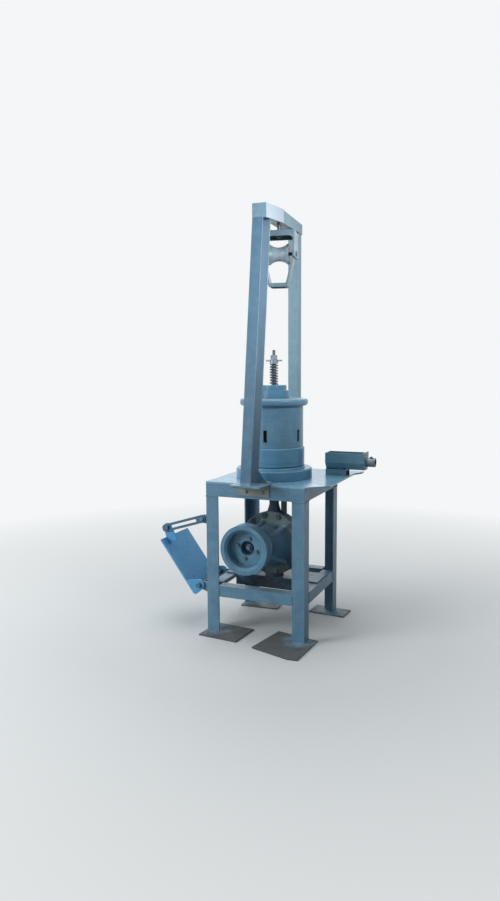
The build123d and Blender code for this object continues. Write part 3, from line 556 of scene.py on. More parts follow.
    def coats(self, ground: str, layers: Layers) -> Socket:
        """Lays colours over one another.

        Args:
            ground: the lowest colour.
            layers: for each further colour its pattern, the share of it that shows there and the colour.

        Returns:
            The socket with the colour.
        """
        colour: object = linear(ground)
        for pattern, share, layer in layers:
            colour = self.mix(self.product(pattern, share), colour, linear(layer))
        return colour

    def relief(self, layers: Heights, rounding: float) -> Socket:
        """Adds up heights and turns them to a normal, over edges rounded a little.

        Args:
            layers: each pattern with its real height in millimetres.
            rounding: radius of the outer edges in millimetres.

        Returns:
            The socket with the normal.
        """
        total: object = 0.0
        for pattern, height in layers:
            total = self.maths("MULTIPLY_ADD", pattern, height * MM, total)
        sockets = {"Height": total, "Distance": 1.0, "Normal": self.rounded(rounding)}
        return self.add("ShaderNodeBump", sockets).outputs["Normal"]

    def seen_plainly(self) -> Socket:
        """1 on rays that the camera sends, or that come to it through glass or off a glossy face."""
        path = self.add("ShaderNodeLightPath").outputs
        seen = self.maths("MAXIMUM", path["Is Camera Ray"], path["Is Transmission Ray"])
        return self.maths("MAXIMUM", seen, path["Is Glossy Ray"])


# ---------------------------------------------------------------- finishes


@dataclass(frozen=True)
class Finish:
    """A named finish. The finishes made from it say what goes into the surface shader."""

    name: str

    def look(self, recipe: Recipe) -> dict[str, object]:
        """What goes into the surface shader's sockets."""
        raise NotImplementedError

    def build(self) -> bpy.types.Material:
        """Builds the finish's material."""
        material = bpy.data.materials.new(self.name)
        recipe = Recipe.cleared(material)
        shader = recipe.add("ShaderNodeBsdfPrincipled", self.look(recipe))
        recipe.add("ShaderNodeOutputMaterial", {"Surface": shader.outputs["BSDF"]})
        return material


@dataclass(frozen=True)
class Enamel(Finish):
    """Alkyd enamel, brushed in one coat over mild steel that was painted before.

    It gives a soft gloss with brush marks along the piece, thin and darker where the brush ran dry,
    greyer where dust has settled, and rubbed to pale undercoat and dark steel along the edges. Corners
    and gaps darken with dirt and painted shade, and a piece may take a painted side tone on faces
    looking +X, painted light inside open sections and painted shade on faces looking down.
    """

    body: str
    thin: str
    full: str
    dust_and_sky_light: str = "A3B4B9"
    undercoat: str = "B4C4C8"
    dirt_and_shade: str = "27363B"
    rust: str = "4A3A30"
    gloss: float = 0.34
    dull: float = 0.56
    dust_and_sky_light_share: float = 0.5
    grain: Grain = Grain.UPRIGHT
    brush_mark: float = 7.0
    stroke_height: float = 0.14
    rust_share: float = 0.35
    dirt_and_shade_share: float = 0.6
    speck_share: float = 0.4
    # Painted light on faces looking +X: its tone and share, pale for a painted highlight, dark for painted
    # shade.
    side_light_tone: str = "A9BAC4"
    side_light_share: float = 0.0
    # Share of the painted light tone laid inside open sections.
    hollow_light_share: float = 0.0
    # Painted shade on faces looking down: its colour and share.
    under: str = "3C5059"
    underside_shade_share: float = 0.0
    edge_share: float = 0.55
    shine: float = 0.3

    def own_coats(self, recipe: Recipe) -> Layers:
        """What lies on this piece alone: painted light inside an open section, where it is one."""
        return [(recipe.hollow_light_mask(), self.hollow_light_share, self.side_light_tone)] if self.hollow_light_share else []

    def turning(self, recipe: Recipe) -> tuple[Layers, Heights]:
        """Colours and heights that come last of all. A brushed piece has none."""
        return [], []

    def look(self, recipe: Recipe) -> dict[str, object]:
        """Colour, gloss and relief of the paint."""
        strokes = recipe.mottle(self.brush_mark, 0.30, 0.72, self.grain)
        broad = recipe.mottle(240, 0.36, 0.66)
        cloud = recipe.mottle(60, 0.40, 0.72)
        run = recipe.mottle(30, 0.56, 0.74, Grain.UPRIGHT)
        speck = recipe.mottle(5, 0.66, 0.76, detail=2.0)
        pits = recipe.mottle(3.2, 0.35, 0.75, detail=2.0)
        edge = recipe.worn_edges(3.5, 24)
        chip = recipe.product(recipe.worn_edges(2.0, 9), recipe.mottle(40, 0.5, 0.66))
        settled_dust_and_sky_light = recipe.product(recipe.facing("Z", 0.55, 0.98), recipe.mottle(46, 0.34, 0.70), self.dust_and_sky_light_share)
        last_coats, last_heights = self.turning(recipe)
        colour = recipe.coats(self.body, [
            (broad, 0.75, self.thin),
            (cloud, 0.42, self.full),
            (strokes, 0.26, self.full),
            (run, 0.20, self.thin),
            (speck, self.speck_share, self.undercoat),
            # Painted side tone on faces looking +X: a highlight on the upright and near beam, shade on the
            # roller.
            (recipe.facing("X", 0.35, 0.85), self.side_light_share, self.side_light_tone),
            # Painted shade on faces looking down.
            (recipe.facing("Z", -0.35, -0.85), self.underside_shade_share, self.under),
            # The piece's own coats, such as painted light inside open sections and the gear's painted shadow
            # on the cradle.
            *self.own_coats(recipe),
            # Dust on faces looking up; on the cradle its pale blue colour is painted sky light.
            (settled_dust_and_sky_light, 1.0, self.dust_and_sky_light),
            (edge, self.edge_share, self.undercoat),
            # Dirt and painted shade in corners and gaps.
            (recipe.corner_dirt_and_shade(34), self.dirt_and_shade_share, self.dirt_and_shade),
            (chip, self.rust_share, self.rust),
            *last_coats,
        ])
        heights = [(strokes, self.stroke_height), (broad, 1.0), (pits, 0.05), (edge, -0.12), *last_heights]
        matt = recipe.maths("MAXIMUM", recipe.product(cloud, 0.8), settled_dust_and_sky_light)
        return {
            "Base Color": colour,
            "Roughness": recipe.spread(matt, self.gloss, self.dull),
            "Normal": recipe.relief(heights, 1.6),
            "Specular IOR Level": self.shine,
            "Coat Weight": 0.08,
            "Coat Roughness": 0.22,
        }


@dataclass(frozen=True)
class GearShadowEnamel(Enamel):
    """Frame enamel under the gear, with a near-black painted shadow of the gear round its middle."""

    node: str = "cradle_channel"
    oil_and_shadow: str = "1A242C"
    shadow_inner: float = 170.0
    shadow_outer: float = 250.0

    def own_coats(self, recipe: Recipe) -> Layers:
        """The painted shadow of the gear, round the node's middle, with a broken edge."""
        low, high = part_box(self.node)
        reach = recipe.from_line((low.x + high.x) / 2, (low.y + high.y) / 2)
        stain_and_shadow = recipe.ramp(reach, self.shadow_outer * MM, self.shadow_inner * MM)
        broken = recipe.spread(recipe.mottle(40, 0.3, 0.6), 0.7, 1.0)
        return [(recipe.product(stain_and_shadow, broken), 0.92, self.oil_and_shadow)]


@dataclass(frozen=True)
class TurnedEnamel(Enamel):
    """The same enamel on a turned casting, with the tool's rings under it and thin dark score lines.

    Its skirt was painted again, fresher, and its hollow is painted near black below the mouth as painted
    shade.
    """

    node: str = "drum"
    scores: tuple[float, ...] = (0.055, 0.282)
    score_dark: str = "2C4658"
    score_half: float = 0.9
    score_soft: float = 0.6
    score_depth: float = 0.9
    tool_height: float = 0.12
    skirt_share: float = 0.278
    skirt_blue: str = "4A88AA"
    hollow_radius: float = 170.0
    mouth_depth: float = 46.0
    hollow_shade: str = "1B2227"

    def turning(self, recipe: Recipe) -> tuple[Layers, Heights]:
        """The fresh skirt, the painted shade in the hollow and the score lines, with the tool's rings."""
        low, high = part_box(self.node)
        tall = high.z - low.z
        lines: object = 0.0
        for share in self.scores:
            middle = low.z + tall * share
            under, over = middle - self.score_half * MM, middle + self.score_half * MM
            rise = recipe.beyond("Z", under - self.score_soft * MM, under)
            fall = recipe.beyond("Z", over + self.score_soft * MM, over)
            lines = recipe.maths("MAXIMUM", lines, recipe.product(rise, fall))
        skirt_top = low.z + tall * self.skirt_share
        skirt = recipe.beyond("Z", skirt_top + 1 * MM, skirt_top - 1 * MM)
        reach = recipe.from_line((low.x + high.x) / 2, (low.y + high.y) / 2)
        wall = self.hollow_radius * MM
        mouth = high.z - self.mouth_depth * MM
        inside = recipe.product(
            recipe.ramp(reach, wall + 5 * MM, wall + 1.5 * MM), recipe.beyond("Z", mouth, mouth - 6 * MM)
        )
        layers = [
            (recipe.product(skirt, recipe.mottle(90, 0.2, 0.6)), 0.75, self.skirt_blue),
            # Painted shade inside the hollow below the mouth.
            (inside, 0.92, self.hollow_shade),
            (lines, 0.55, self.score_dark),
        ]
        rings = recipe.mottle(9, 0.3, 0.7, Grain.TURNED)
        return layers, [(lines, -self.score_depth), (rings, self.tool_height)]


@dataclass(frozen=True)
class Casting(Finish):
    """Grey iron, sand cast, under old grey-green paint with blue overspray.

    The sand leaves a fine pebbled skin; paint is thin on the ribs and thick with dust and oil in the
    roots, where painted shade darkens it further, so the colour runs from dusty olive grey to almost black.
    """

    body: str
    dark: str
    overspray: str
    covering: float = 0.5
    dust_and_sky_light: str = "A9AFA6"
    oil_and_shadow: str = "2B3230"
    edge: str = "9BA8A6"
    dirt_and_shade: str = "1C2220"
    gloss: float = 0.46
    dull: float = 0.74

    def over_coats(self, recipe: Recipe) -> Layers:
        """Paint that lies over the old coat. A plain casting has none."""
        return []

    def look(self, recipe: Recipe) -> dict[str, object]:
        """Colour, gloss and relief of the casting."""
        skin = recipe.mottle(2.6, 0.30, 0.72, detail=3.0)
        pits = recipe.mottle(9, 0.60, 0.72)
        broad = recipe.mottle(110, 0.38, 0.64)
        settled_dust_and_sky_light = recipe.product(recipe.facing("Z", 0.35, 0.98), recipe.mottle(30, 0.36, 0.66))
        colour = recipe.coats(self.body, [
            (broad, 0.7, self.dark),
            (recipe.mottle(70, 0.36, 0.62), self.covering, self.overspray),
            *self.over_coats(recipe),
            (pits, 0.45, self.dark),
            (recipe.mottle(44, 0.52, 0.70, Grain.UPRIGHT), 0.32, self.oil_and_shadow),
            (settled_dust_and_sky_light, 0.62, self.dust_and_sky_light),
            (recipe.worn_edges(3.0, 14), 0.5, self.edge),
            # Dirt and painted shade in corners and gaps.
            (recipe.corner_dirt_and_shade(46), 0.8, self.dirt_and_shade),
        ])
        return {
            "Base Color": colour,
            "Roughness": recipe.spread(broad, self.dull, self.gloss),
            "Normal": recipe.relief([(skin, 0.30), (pits, -0.5), (broad, 1.2)], 2.2),
        }


@dataclass(frozen=True)
class NoseCasting(Casting):
    """The gear nose: its ring keeps the old olive coat, with painted shade below, and its cone was sprayed
    blue.

    A pale blue painted highlight lies along the ribs' crests.
    """

    node: str = "gear_nose"
    cone_blue: str = "43799A"
    crest_highlight: str = "8DBBD1"
    lower_half_shade: str = "1F2B37"

    def over_coats(self, recipe: Recipe) -> Layers:
        """Painted shade, near black, on the ring's lower half, blue on the cone and a pale painted highlight
        on its ribs.
        """
        low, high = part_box(self.node)
        front = high.y - FLANGE_THICKNESS * MM
        middle = low.z + (high.x - low.x) / 2
        cone = recipe.beyond("Y", front + 1 * MM, front - 9 * MM)
        thin = recipe.spread(recipe.mottle(34, 0.34, 0.62), 0.72, 1.0)
        crest = recipe.add("ShaderNodeAttribute", attribute_name="crest").outputs["Fac"]
        crest_highlight_mask = recipe.product(recipe.ramp(crest, 0.25, 0.85), recipe.mottle(22, 0.30, 0.60))
        return [
            # Painted shade on the ring's lower half.
            (recipe.beyond("Z", middle + 30 * MM, middle - 90 * MM), 0.85, self.lower_half_shade),
            (recipe.product(cone, thin), 1.0, self.cone_blue),
            # Painted highlight along the ribs' crests.
            (crest_highlight_mask, 0.6, self.crest_highlight),
        ]


@dataclass(frozen=True)
class FlameCutPlate(Finish):
    """Hot-rolled plate, flame cut, lying on the ground under the legs.

    Mill scale and rust show brown grey through wet dust, with blue where the legs were painted.
    """

    body: str = "3F484D"
    scale: str = "282E32"
    rust: str = "4A3D34"
    overspray: str = "7DA3B8"
    grit: str = "A7B0B2"
    dirt_and_shade: str = "2A2C2A"
    splash_inner: float = 45.0
    splash_outer: float = 125.0

    def splash(self, recipe: Recipe, spray: Socket, leg: str) -> tuple[Socket, float, str]:
        """The blue that fell round one leg.

        Args:
            recipe: the material's recipe.
            spray: how thick it fell.
            leg: the leg's node.

        Returns:
            The layer.
        """
        low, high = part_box(leg)
        reach = recipe.from_line((low.x + high.x) / 2, (low.y + high.y) / 2)
        near = recipe.ramp(reach, self.splash_outer * MM, self.splash_inner * MM)
        return recipe.product(near, spray), 1.0, self.overspray

    def look(self, recipe: Recipe) -> dict[str, object]:
        """Colour, gloss and relief of the plate."""
        broad = recipe.mottle(90, 0.36, 0.64)
        fine = recipe.mottle(12, 0.40, 0.68)
        grit = recipe.mottle(2.4, 0.42, 0.70, detail=2.0)
        spray = recipe.spread(recipe.mottle(60, 0.44, 0.56), 0.35, 1.0)
        colour = recipe.coats(self.body, [
            (broad, 0.55, self.scale),
            (fine, 0.38, self.rust),
            *(self.splash(recipe, spray, leg) for leg in LEGS),
            (grit, 0.30, self.grit),
            (recipe.worn_edges(5.0, 20), 0.6, self.rust),
            # Dirt and painted shade in corners and gaps.
            (recipe.corner_dirt_and_shade(60), 0.6, self.dirt_and_shade),
        ])
        return {
            "Base Color": colour,
            "Roughness": recipe.spread(broad, 0.72, 0.46),
            "Normal": recipe.relief([(fine, 0.5), (grit, 0.16), (broad, 2.0)], 1.4),
        }


@dataclass(frozen=True)
class BareSteel(Finish):
    """Turned or drawn mild steel, unpainted and slightly oxidised.

    Fine lathe lines catch the light across the piece; oil and dust dull it in patches.
    """

    bright: str
    dull: str
    stain_and_shadow: str = "4B4640"
    edge: str = "C8CCCE"
    dirt_and_shade: str = "1E1D1B"
    roughness: float = 0.34
    oxide_roughness: float = 0.26
    metallic: float = 0.9
    grain: Grain = Grain.TURNED

    def look(self, recipe: Recipe) -> dict[str, object]:
        """Colour, gloss and relief of the steel."""
        lines = recipe.mottle(2.0, 0.30, 0.72, self.grain)
        patch = recipe.mottle(22, 0.42, 0.68)
        spot = recipe.mottle(6, 0.58, 0.72)
        colour = recipe.coats(self.bright, [
            (patch, 0.75, self.dull),
            (lines, 0.30, self.dull),
            (spot, 0.45, self.stain_and_shadow),
            (recipe.worn_edges(1.2, 8), 0.4, self.edge),
            # Dirt and painted shade in corners and gaps.
            (recipe.corner_dirt_and_shade(14), 0.85, self.dirt_and_shade),
        ])
        return {
            "Base Color": colour,
            "Roughness": recipe.spread(patch, self.roughness, self.roughness + self.oxide_roughness),
            "Normal": recipe.relief([(lines, 0.05), (spot, -0.05)], 0.6),
            "Metallic": self.metallic,
        }


class Coat(Enum):
    """The machine's finishes."""

    FRAME = Enamel("frame_brushed_enamel", "587F99", "456B84", "769EB6")
    RAIL = Enamel("rail_brushed_enamel", "587F99", "456B84", "769EB6", grain=Grain.ACROSS)
    # Painted highlight on faces looking +X and painted light inside the channel.
    UPRIGHT = Enamel(
        "upright_brushed_enamel", "4C708A", "3C5F77", "678EA8", dirt_and_shade_share=0.1, side_light_share=0.2,
        hollow_light_share=0.62, side_light_tone="9DB3C2",
    )
    REAR_UPRIGHT = Enamel("rear_upright_enamel", "6C8B9B", "58798B", "8AA5B2")
    # Painted highlight on faces looking +X and painted shade on faces looking down.
    NEAR_BEAM = Enamel(
        "near_beam_enamel", "6C8DA2", "587A90", "8EA8B8", grain=Grain.ACROSS, dust_and_sky_light_share=0.7, side_light_tone="C3CBD4",
        side_light_share=0.45, underside_shade_share=0.9,
    )
    FORK = Enamel(
        "fork_weathered_enamel", "5B7381", "485E6C", "7D939F", dust_and_sky_light_share=0.6, edge_share=0.25, grain=Grain.EVEN
    )
    TABLE = Enamel(
        "table_glossy_enamel", "76A8C4", "6397B4", "8DB9CE", gloss=0.17, dull=0.34, dust_and_sky_light_share=0.2,
        grain=Grain.ACROSS, stroke_height=0.05, speck_share=0.1, shine=0.4,
    )
    # Painted shade on faces looking down.
    FAR_BEAM = Enamel("far_beam_enamel", "6A8997", "557585", "82A0AC", grain=Grain.ALONG, underside_shade_share=0.9)
    DRUM = TurnedEnamel(
        "drum_turned_enamel", "55809A", "446B83", "729BB4", gloss=0.28, dull=0.46, grain=Grain.TURNED
    )
    CAP = Enamel("cap_enamel", "44728F", "37627D", "6290AA", gloss=0.3, dull=0.5, grain=Grain.TURNED)
    MOTOR_PLATE = Enamel(
        "motor_plate_enamel", "4C9BD0", "3F87BA", "74B4DA", dust_and_sky_light_share=0.35, grain=Grain.ALONG
    )
    PULLEY = Enamel("pulley_enamel", "507E9A", "3E6881", "759FB7", gloss=0.3, dull=0.5, grain=Grain.EVEN)
    DIE_BOX = Enamel("die_box_enamel", "5C8AA2", "4A748B", "7FA9BC", grain=Grain.ACROSS, rust_share=0.6)
    HOUSING = Casting("housing_sand_cast_iron", "43535C", "2C383F", "436E86")
    NOSE = NoseCasting("nose_sand_cast_iron", "7B877E", "4A5551", "5A8494", 0.3)
    # Dark painted shade on faces looking +X.
    ROLLER = Enamel(
        "roller_worn_enamel", "8497A3", "677D8A", "A7B6BF", gloss=0.3, dull=0.48, grain=Grain.EVEN,
        side_light_tone="44555F", side_light_share=0.8, edge_share=0.2, rust_share=0.1,
    )
    ARM = Enamel(
        "shaded_frame_enamel", "426680", "345469", "587F98", dust_and_sky_light_share=0.15, edge_share=0.18, grain=Grain.ACROSS
    )
    # The cradle: a darker copy of the frame enamel as painted shade, pale blue painted sky light on its top
    # faces, and a near-black painted shadow of the gear round its middle.
    CRADLE = GearShadowEnamel(
        "shaded_cradle_enamel", "426680", "345469", "587F98", dust_and_sky_light="8DB4C9", dust_and_sky_light_share=0.8, edge_share=0.3,
        grain=Grain.ACROSS,
    )
    BOLT = Enamel(
        "painted_bolt_enamel", "4A6C82", "38566A", "6A8CA0", grain=Grain.EVEN, brush_mark=4.0, edge_share=0.3
    )
    BRACKET = Casting("bracket_old_paint", "7F8A85", "5E6863", "8FA3A5", 0.3)
    FOOT_PLATE = FlameCutPlate("foot_plate_flame_cut_steel")
    SPRING = BareSteel("spring_drawn_steel", "66727E", "434E5A", roughness=0.36)
    SHAFT = BareSteel("oiled_shaft_steel", "4E565C", "32383D", stain_and_shadow="23262A", roughness=0.42)
    NUT = BareSteel("zinc_plated_nut_steel", "7E8A92", "5A666F", roughness=0.4, grain=Grain.EVEN)


DRESSED: dict[Coat, tuple[str, ...]] = {
    Coat.FRAME: (*LEGS, "upright_feet", "upright_gusset", "hinge_lugs", "arm_lug"),
    Coat.RAIL: tuple(f"{level}_rail_{side}" for level in ("top", "lower") for side in SIDES),
    Coat.UPRIGHT: ("front_upright",),
    Coat.REAR_UPRIGHT: ("rear_upright",),
    Coat.NEAR_BEAM: ("front_beam",),
    Coat.FORK: ("guide_fork",),
    Coat.TABLE: ("table_plate",),
    Coat.FAR_BEAM: ("rear_beam",),
    Coat.DRUM: ("bearing_base", "drum"),
    Coat.CAP: ("friction_cap",),
    Coat.MOTOR_PLATE: ("motor_plate", "motor_ears"),
    Coat.PULLEY: ("pulley",),
    Coat.DIE_BOX: ("die_box", "box_stand"),
    Coat.HOUSING: ("axle_housing",),
    Coat.ROLLER: ("guide_roller",),
    Coat.ARM: ("slotted_arm",),
    Coat.CRADLE: ("cradle_channel",),
    Coat.BOLT: ("clamp_bolt",),
    Coat.BRACKET: ("upright_bracket",),
    Coat.FOOT_PLATE: ("foot_plates",),
    Coat.SPRING: ("spindle_spring",),
    Coat.SHAFT: ("spindle", "roller_axle", "fork_bolt", "hinge_rod"),
    Coat.NUT: ("spindle_nut", "wire_tube"),
}


def dress(node: str, material: bpy.types.Material) -> None:
    """Gives a CAD node its finish.

    Args:
        node: the node's name.
        material: its finish.
    """
    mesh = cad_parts[node].data
    if not mesh.materials:
        mesh.materials.append(material)
    for place in range(len(mesh.materials)):
        mesh.materials[place] = material
    LOG.info("dressed %s in %s", node, material.name)


# ---------------------------------------------------------------- the machine


@dataclass
class Plan:
    """Where the machine stands in the frame: its drum's axis, from which places are measured."""

    axis_x: float
    axis_y: float

    @classmethod
    def from_frame(cls) -> "Plan":
        """Finds the drum's axis from its solid."""
        low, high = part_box("drum")
        return cls((low.x + high.x) / 2, (low.y + high.y) / 2)

    def at(self, x: float, y: float, z: float) -> Vector:
        """A point in metres from millimetres right of, behind and above the drum's foot on the floor."""
        return Vector((self.axis_x + x * MM, self.axis_y + y * MM, z * MM))


@dataclass
class Part:
    """A part of the machine, with the plan it stands on and the finishes that it draws from."""

    plan: Plan
    paint: dict[Coat, bpy.types.Material]

    def put_in(
        self, name: str, surface: Surface, coat: Coat, slot: str, body: str = "frame"
    ) -> bpy.types.Object:
        """Makes a piece of the machine from a surface.

        Args:
            name: the piece's name.
            surface: its shape, already in place.
            coat: its finish.
            slot: not used.
            body: the CAD body that it rides on.

        Returns:
            The new object, at the origin.
        """
        mesh = bpy.data.meshes.new(name)
        faces = [face for block in surface.faces for face in block.tolist()]
        mesh.from_pydata(surface.points.tolist(), [], faces)
        mesh.polygons.foreach_set("use_smooth", np.ones(len(mesh.polygons), bool))
        mesh.set_sharp_from_angle(angle=math.radians(32))
        mesh.materials.append(self.paint[coat])
        piece = bpy.data.objects.new(name, mesh)
        bpy.context.scene.collection.objects.link(piece)
        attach(piece, body)
        LOG.info("piece %s: %d faces on %s", name, len(mesh.polygons), body)
        return piece


@dataclass
class TableFrame(Part):
    """The welds of the angle iron table."""

    bead_radius: float = 3.4

    def corner_weld(self, leg: str, height: float, seed: int) -> Surface:
        """A bead along the two outer faces of a leg.

        Args:
            leg: the leg's node.
            height: height of the bead in metres.
            seed: starts its random swell.

        Returns:
            The bead.
        """
        low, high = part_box(leg)
        inner_x, outer_x = (high.x, low.x) if high.x < self.plan.axis_x else (low.x, high.x)
        inner_y, outer_y = (high.y, low.y) if high.y < self.plan.axis_y else (low.y, high.y)
        path = [[inner_x, outer_y, height], [outer_x, outer_y, height], [outer_x, inner_y, height]]
        return bead(path, self.bead_radius, seed)

    def rail_welds(self, rail: str, seed: int) -> list[Surface]:
        """Upright beads where a lower rail's outer flange meets the legs.

        Args:
            rail: the rail's node.
            seed: starts their random swell.

        Returns:
            The two beads.
        """
        low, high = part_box(rail)
        if high.x - low.x > high.y - low.y:
            y = low.y if high.y < self.plan.axis_y else high.y
            ends = [(low.x, y), (high.x, y)]
        else:
            x = low.x if high.x < self.plan.axis_x else high.x
            ends = [(x, low.y), (x, high.y)]
        return [
            bead([[x, y, low.z + 4 * MM], [x, y, high.z - 3 * MM]], self.bead_radius, seed + number)
            for number, (x, y) in enumerate(ends)
        ]

    def build(self) -> None:
        """Lays the beads at the legs' feet and heads and at the lower rails' ends."""
        welds: list[Surface] = []
        for number, leg in enumerate(LEGS):
            low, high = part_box(leg)
            welds.append(self.corner_weld(leg, low.z + 1 * MM, 10 + number))
            welds.append(self.corner_weld(leg, high.z, 20 + number))
        for number, side in enumerate(SIDES):
            welds += self.rail_welds(f"lower_rail_{side}", 30 + 2 * number)
        self.put_in("table_welds", joined(welds), Coat.FRAME, "blue_enamel")


@dataclass
class Portal(Part):
    """The bolts and welds of the two uprights, their bracket and gusset."""

    upright_width: float = 64.0
    upright_depth: float = 124.0
    bracket_bolts: tuple[float, ...] = (-49.0, 57.0)
    bracket_bolt_height: float = 905.0
    bracket_wall: float = 8.0
    bolt_size: float = 15.0
    head_height: float = 9.0
    bead_radius: float = 3.6
    gusset_bead_radius: float = 2.88
    head_turn: float = 17.0

    def build(self) -> None:
        """Adds the bolts and the welds."""
        self.add_bolts()
        self.add_welds()

    def add_bolts(self) -> None:
        """Two bolts through the bracket's upright wall."""
        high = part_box("upright_bracket")[1]
        face = (high.y - self.plan.axis_y) / MM - self.bracket_wall
        heads = [
            bolt_head(self.bolt_size, self.head_height).placed(
                self.plan.at(x, face, self.bracket_bolt_height), FRONT, self.head_turn * x
            )
            for x in self.bracket_bolts
        ]
        self.put_in("bracket_bolts", joined(heads), Coat.BRACKET, "grey_green_iron")

    def add_welds(self) -> None:
        """Beads round the uprights' feet and along the gusset."""
        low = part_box("front_upright")[0]
        right, rear = low.x + self.upright_width * MM, low.y + self.upright_depth * MM
        foot = [[right, low.y, low.z], [low.x, low.y, low.z], [low.x, rear, low.z], [right, rear, low.z]]
        welds = [bead(foot, self.bead_radius, 50)]
        low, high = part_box("rear_upright")
        for height, seed in ((low.z, 51), (high.z, 52)):
            welds.append(bead(rectangle(low, high, height), self.bead_radius, seed, closed=True))
        low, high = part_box("upright_gusset")
        inner = low.x + 2 * MM
        for y, seed in ((low.y, 53), (high.y, 54)):
            run = [[high.x, y, low.z], [inner, y, low.z], [inner, y, high.z]]
            welds.append(bead(run, self.gusset_bead_radius, seed))
        self.put_in("portal_welds", joined(welds), Coat.FRAME, "blue_enamel")


@dataclass
class Drive(Part):
    """The ribbed gear nose with its bolts, and the pulley's bolts and nut."""

    flange_bolt_count: int = 12
    flange_bolt_start: float = 0.4
    flange_bolt_inset: float = 24.0
    flange_bolt_size: float = 21.0
    flange_head_height: float = 8.0
    nose_columns: int = 216
    cone_rows: int = 34
    row_crowding: float = 1.5
    rib_count: int = 5
    rib_turn: float = 27.0
    rib_height: float = 21.0
    rib_width: float = 15.0
    rib_fade: float = 0.55
    cone_radius: float = 126.0
    cone_bulge: float = 15.0
    cone_end_radius: float = 60.0
    foot_flare: float = 16.0
    flare_share: float = 0.05
    ring_foot_radius: float = 150.0
    ring_inset: float = 1.6
    ring_edge: float = 4.0
    ring_face: float = 30.0
    rim_waves: tuple[tuple[float, int, float], ...] = ((0.9, 5, 1.0), (0.6, 11, 0.0))
    collar_radius: float = 68.0
    collar_gap: float = 206.0
    nose_length: float = 230.0
    bore_edge_radius: float = 34.0
    bore_radius: float = 21.5
    bore_depth: float = 38.0
    pulley_bolt_count: int = 4
    pulley_bolt_radius: float = 63.0
    pulley_bolt_turn: float = 76.0
    pulley_bolt_size: float = 17.0
    pulley_head_height: float = 11.0
    pulley_recess: float = 62.0
    hub_recess: float = 50.0
    nut_size: float = 40.0
    nut_height: float = 22.0
    nut_shank: float = 14.0

    def build(self) -> None:
        """Casts the nose and adds the bolts and the nut."""
        self.add_nose()
        self.add_flange_bolts()
        self.add_pulley_fasteners()

    def rib_crests(
        self, ring: np.ndarray, pinion: np.ndarray, shift: np.ndarray, cone: np.ndarray
    ) -> np.ndarray:
        """How high the ribs stand: a bell curve of the distance from each rib's own line.

        Args:
            ring: the ring's axis, as X and Z in millimetres.
            pinion: the pinion's axis, likewise.
            shift: how far each row's centre has moved from one to the other.
            cone: radius of each row.

        Returns:
            For each row and angle, 1 on a rib's line.
        """
        angle = column_angles(self.nose_columns)
        crest = np.zeros((len(cone), self.nose_columns))
        for number in range(self.rib_count):
            turn = math.radians(self.rib_turn + number * 360 / self.rib_count)
            foot = pinion + np.array([math.cos(turn), math.sin(turn)]) * self.cone_radius - ring
            line = np.arctan2(foot[1], foot[0])
            bend = (turn - line + np.pi) % (2 * np.pi) - np.pi
            apart = (angle[None, :] - (line + bend * shift)[:, None] + np.pi) % (2 * np.pi) - np.pi
            crest += np.exp(-((apart * cone[:, None] / self.rib_width) ** 2))
        return crest

    def add_nose(self) -> None:
        """The gear nose cast in one: a ring, a bulging cone with rounded ribs, and the pinion's collar.

        Along the cone, t runs from 0 at the ring to 1 at the collar. The radius goes evenly from the
        foot's to the end's, with a bulge of sin(pi t) and a flare that dies out at the foot. Each row's
        centre moves from the ring's axis to the pinion's, and the ribs fade out towards the collar.
        """
        low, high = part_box("gear_nose")
        ring_radius = (high.x - low.x) / 2 / MM
        ring = np.array([(low.x + high.x) / 2, low.z + ring_radius * MM]) / MM
        low_wheel, high_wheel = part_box("pulley")
        pinion = np.array([(low_wheel.x + high_wheel.x) / 2, (low_wheel.z + high_wheel.z) / 2]) / MM
        columns, thick, gap, length = self.nose_columns, FLANGE_THICKNESS, self.collar_gap, self.nose_length
        t = np.linspace(0, 1, self.cone_rows) ** self.row_crowding
        shift = t * t * (3 - 2 * t)
        cone = (
            self.cone_radius + (self.cone_end_radius - self.cone_radius) * t
            + self.cone_bulge * np.sin(np.pi * t) + self.foot_flare * np.exp(-t / self.flare_share)
        )
        crest = self.rib_crests(ring, pinion, shift, cone) * ((1 - t) ** self.rib_fade)[:, None]
        angle, edge = column_angles(columns), self.ring_edge
        wave = sum(height * np.sin(count * angle + phase) for height, count, phase in self.rim_waves)
        rim = ring_radius - self.ring_inset + wave
        ring_rows = np.stack([
            rim - edge, rim, rim, rim - edge, rim - self.ring_face, np.full(columns, self.ring_foot_radius)
        ])
        collar = np.array([
            self.collar_radius, self.collar_radius, self.collar_radius - 3, self.bore_edge_radius,
            self.bore_radius, self.bore_radius,
        ])
        radii = np.concatenate([
            ring_rows, cone[:, None] + self.rib_height * crest, np.repeat(collar[:, None], columns, axis=1)
        ])
        heights = np.concatenate([
            [0.0, edge, thick - edge, thick, thick, thick - 0.5],
            thick + (gap - thick) * t,
            [gap + 1, length - 4, length, length, length - 4, length - self.bore_depth],
        ])
        shares = np.concatenate([np.zeros(len(ring_rows)), shift, np.ones(len(collar))])
        centres = ring + (pinion - ring) * shares[:, None]
        turned = lathe(radii, heights, columns)
        points = turned.points[:, [0, 2, 1]] * np.array([1.0, -1.0, 1.0])
        along = np.concatenate([np.repeat(centres, columns, axis=0), centres[:1], centres[-1:]]) * MM
        points += np.stack([along[:, 0], np.full(len(along), high.y), along[:, 1]], axis=1)
        nose = self.put_in("gear_nose_casting", Surface(points, turned.faces), Coat.NOSE, "grey_green_iron")
        marked = np.zeros(len(points))
        first = len(ring_rows) * columns
        marked[first:first + crest.size] = crest.ravel()
        nose.data.attributes.new("crest", "FLOAT", "POINT").data.foreach_set("value", marked)
        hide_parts("gear_nose")

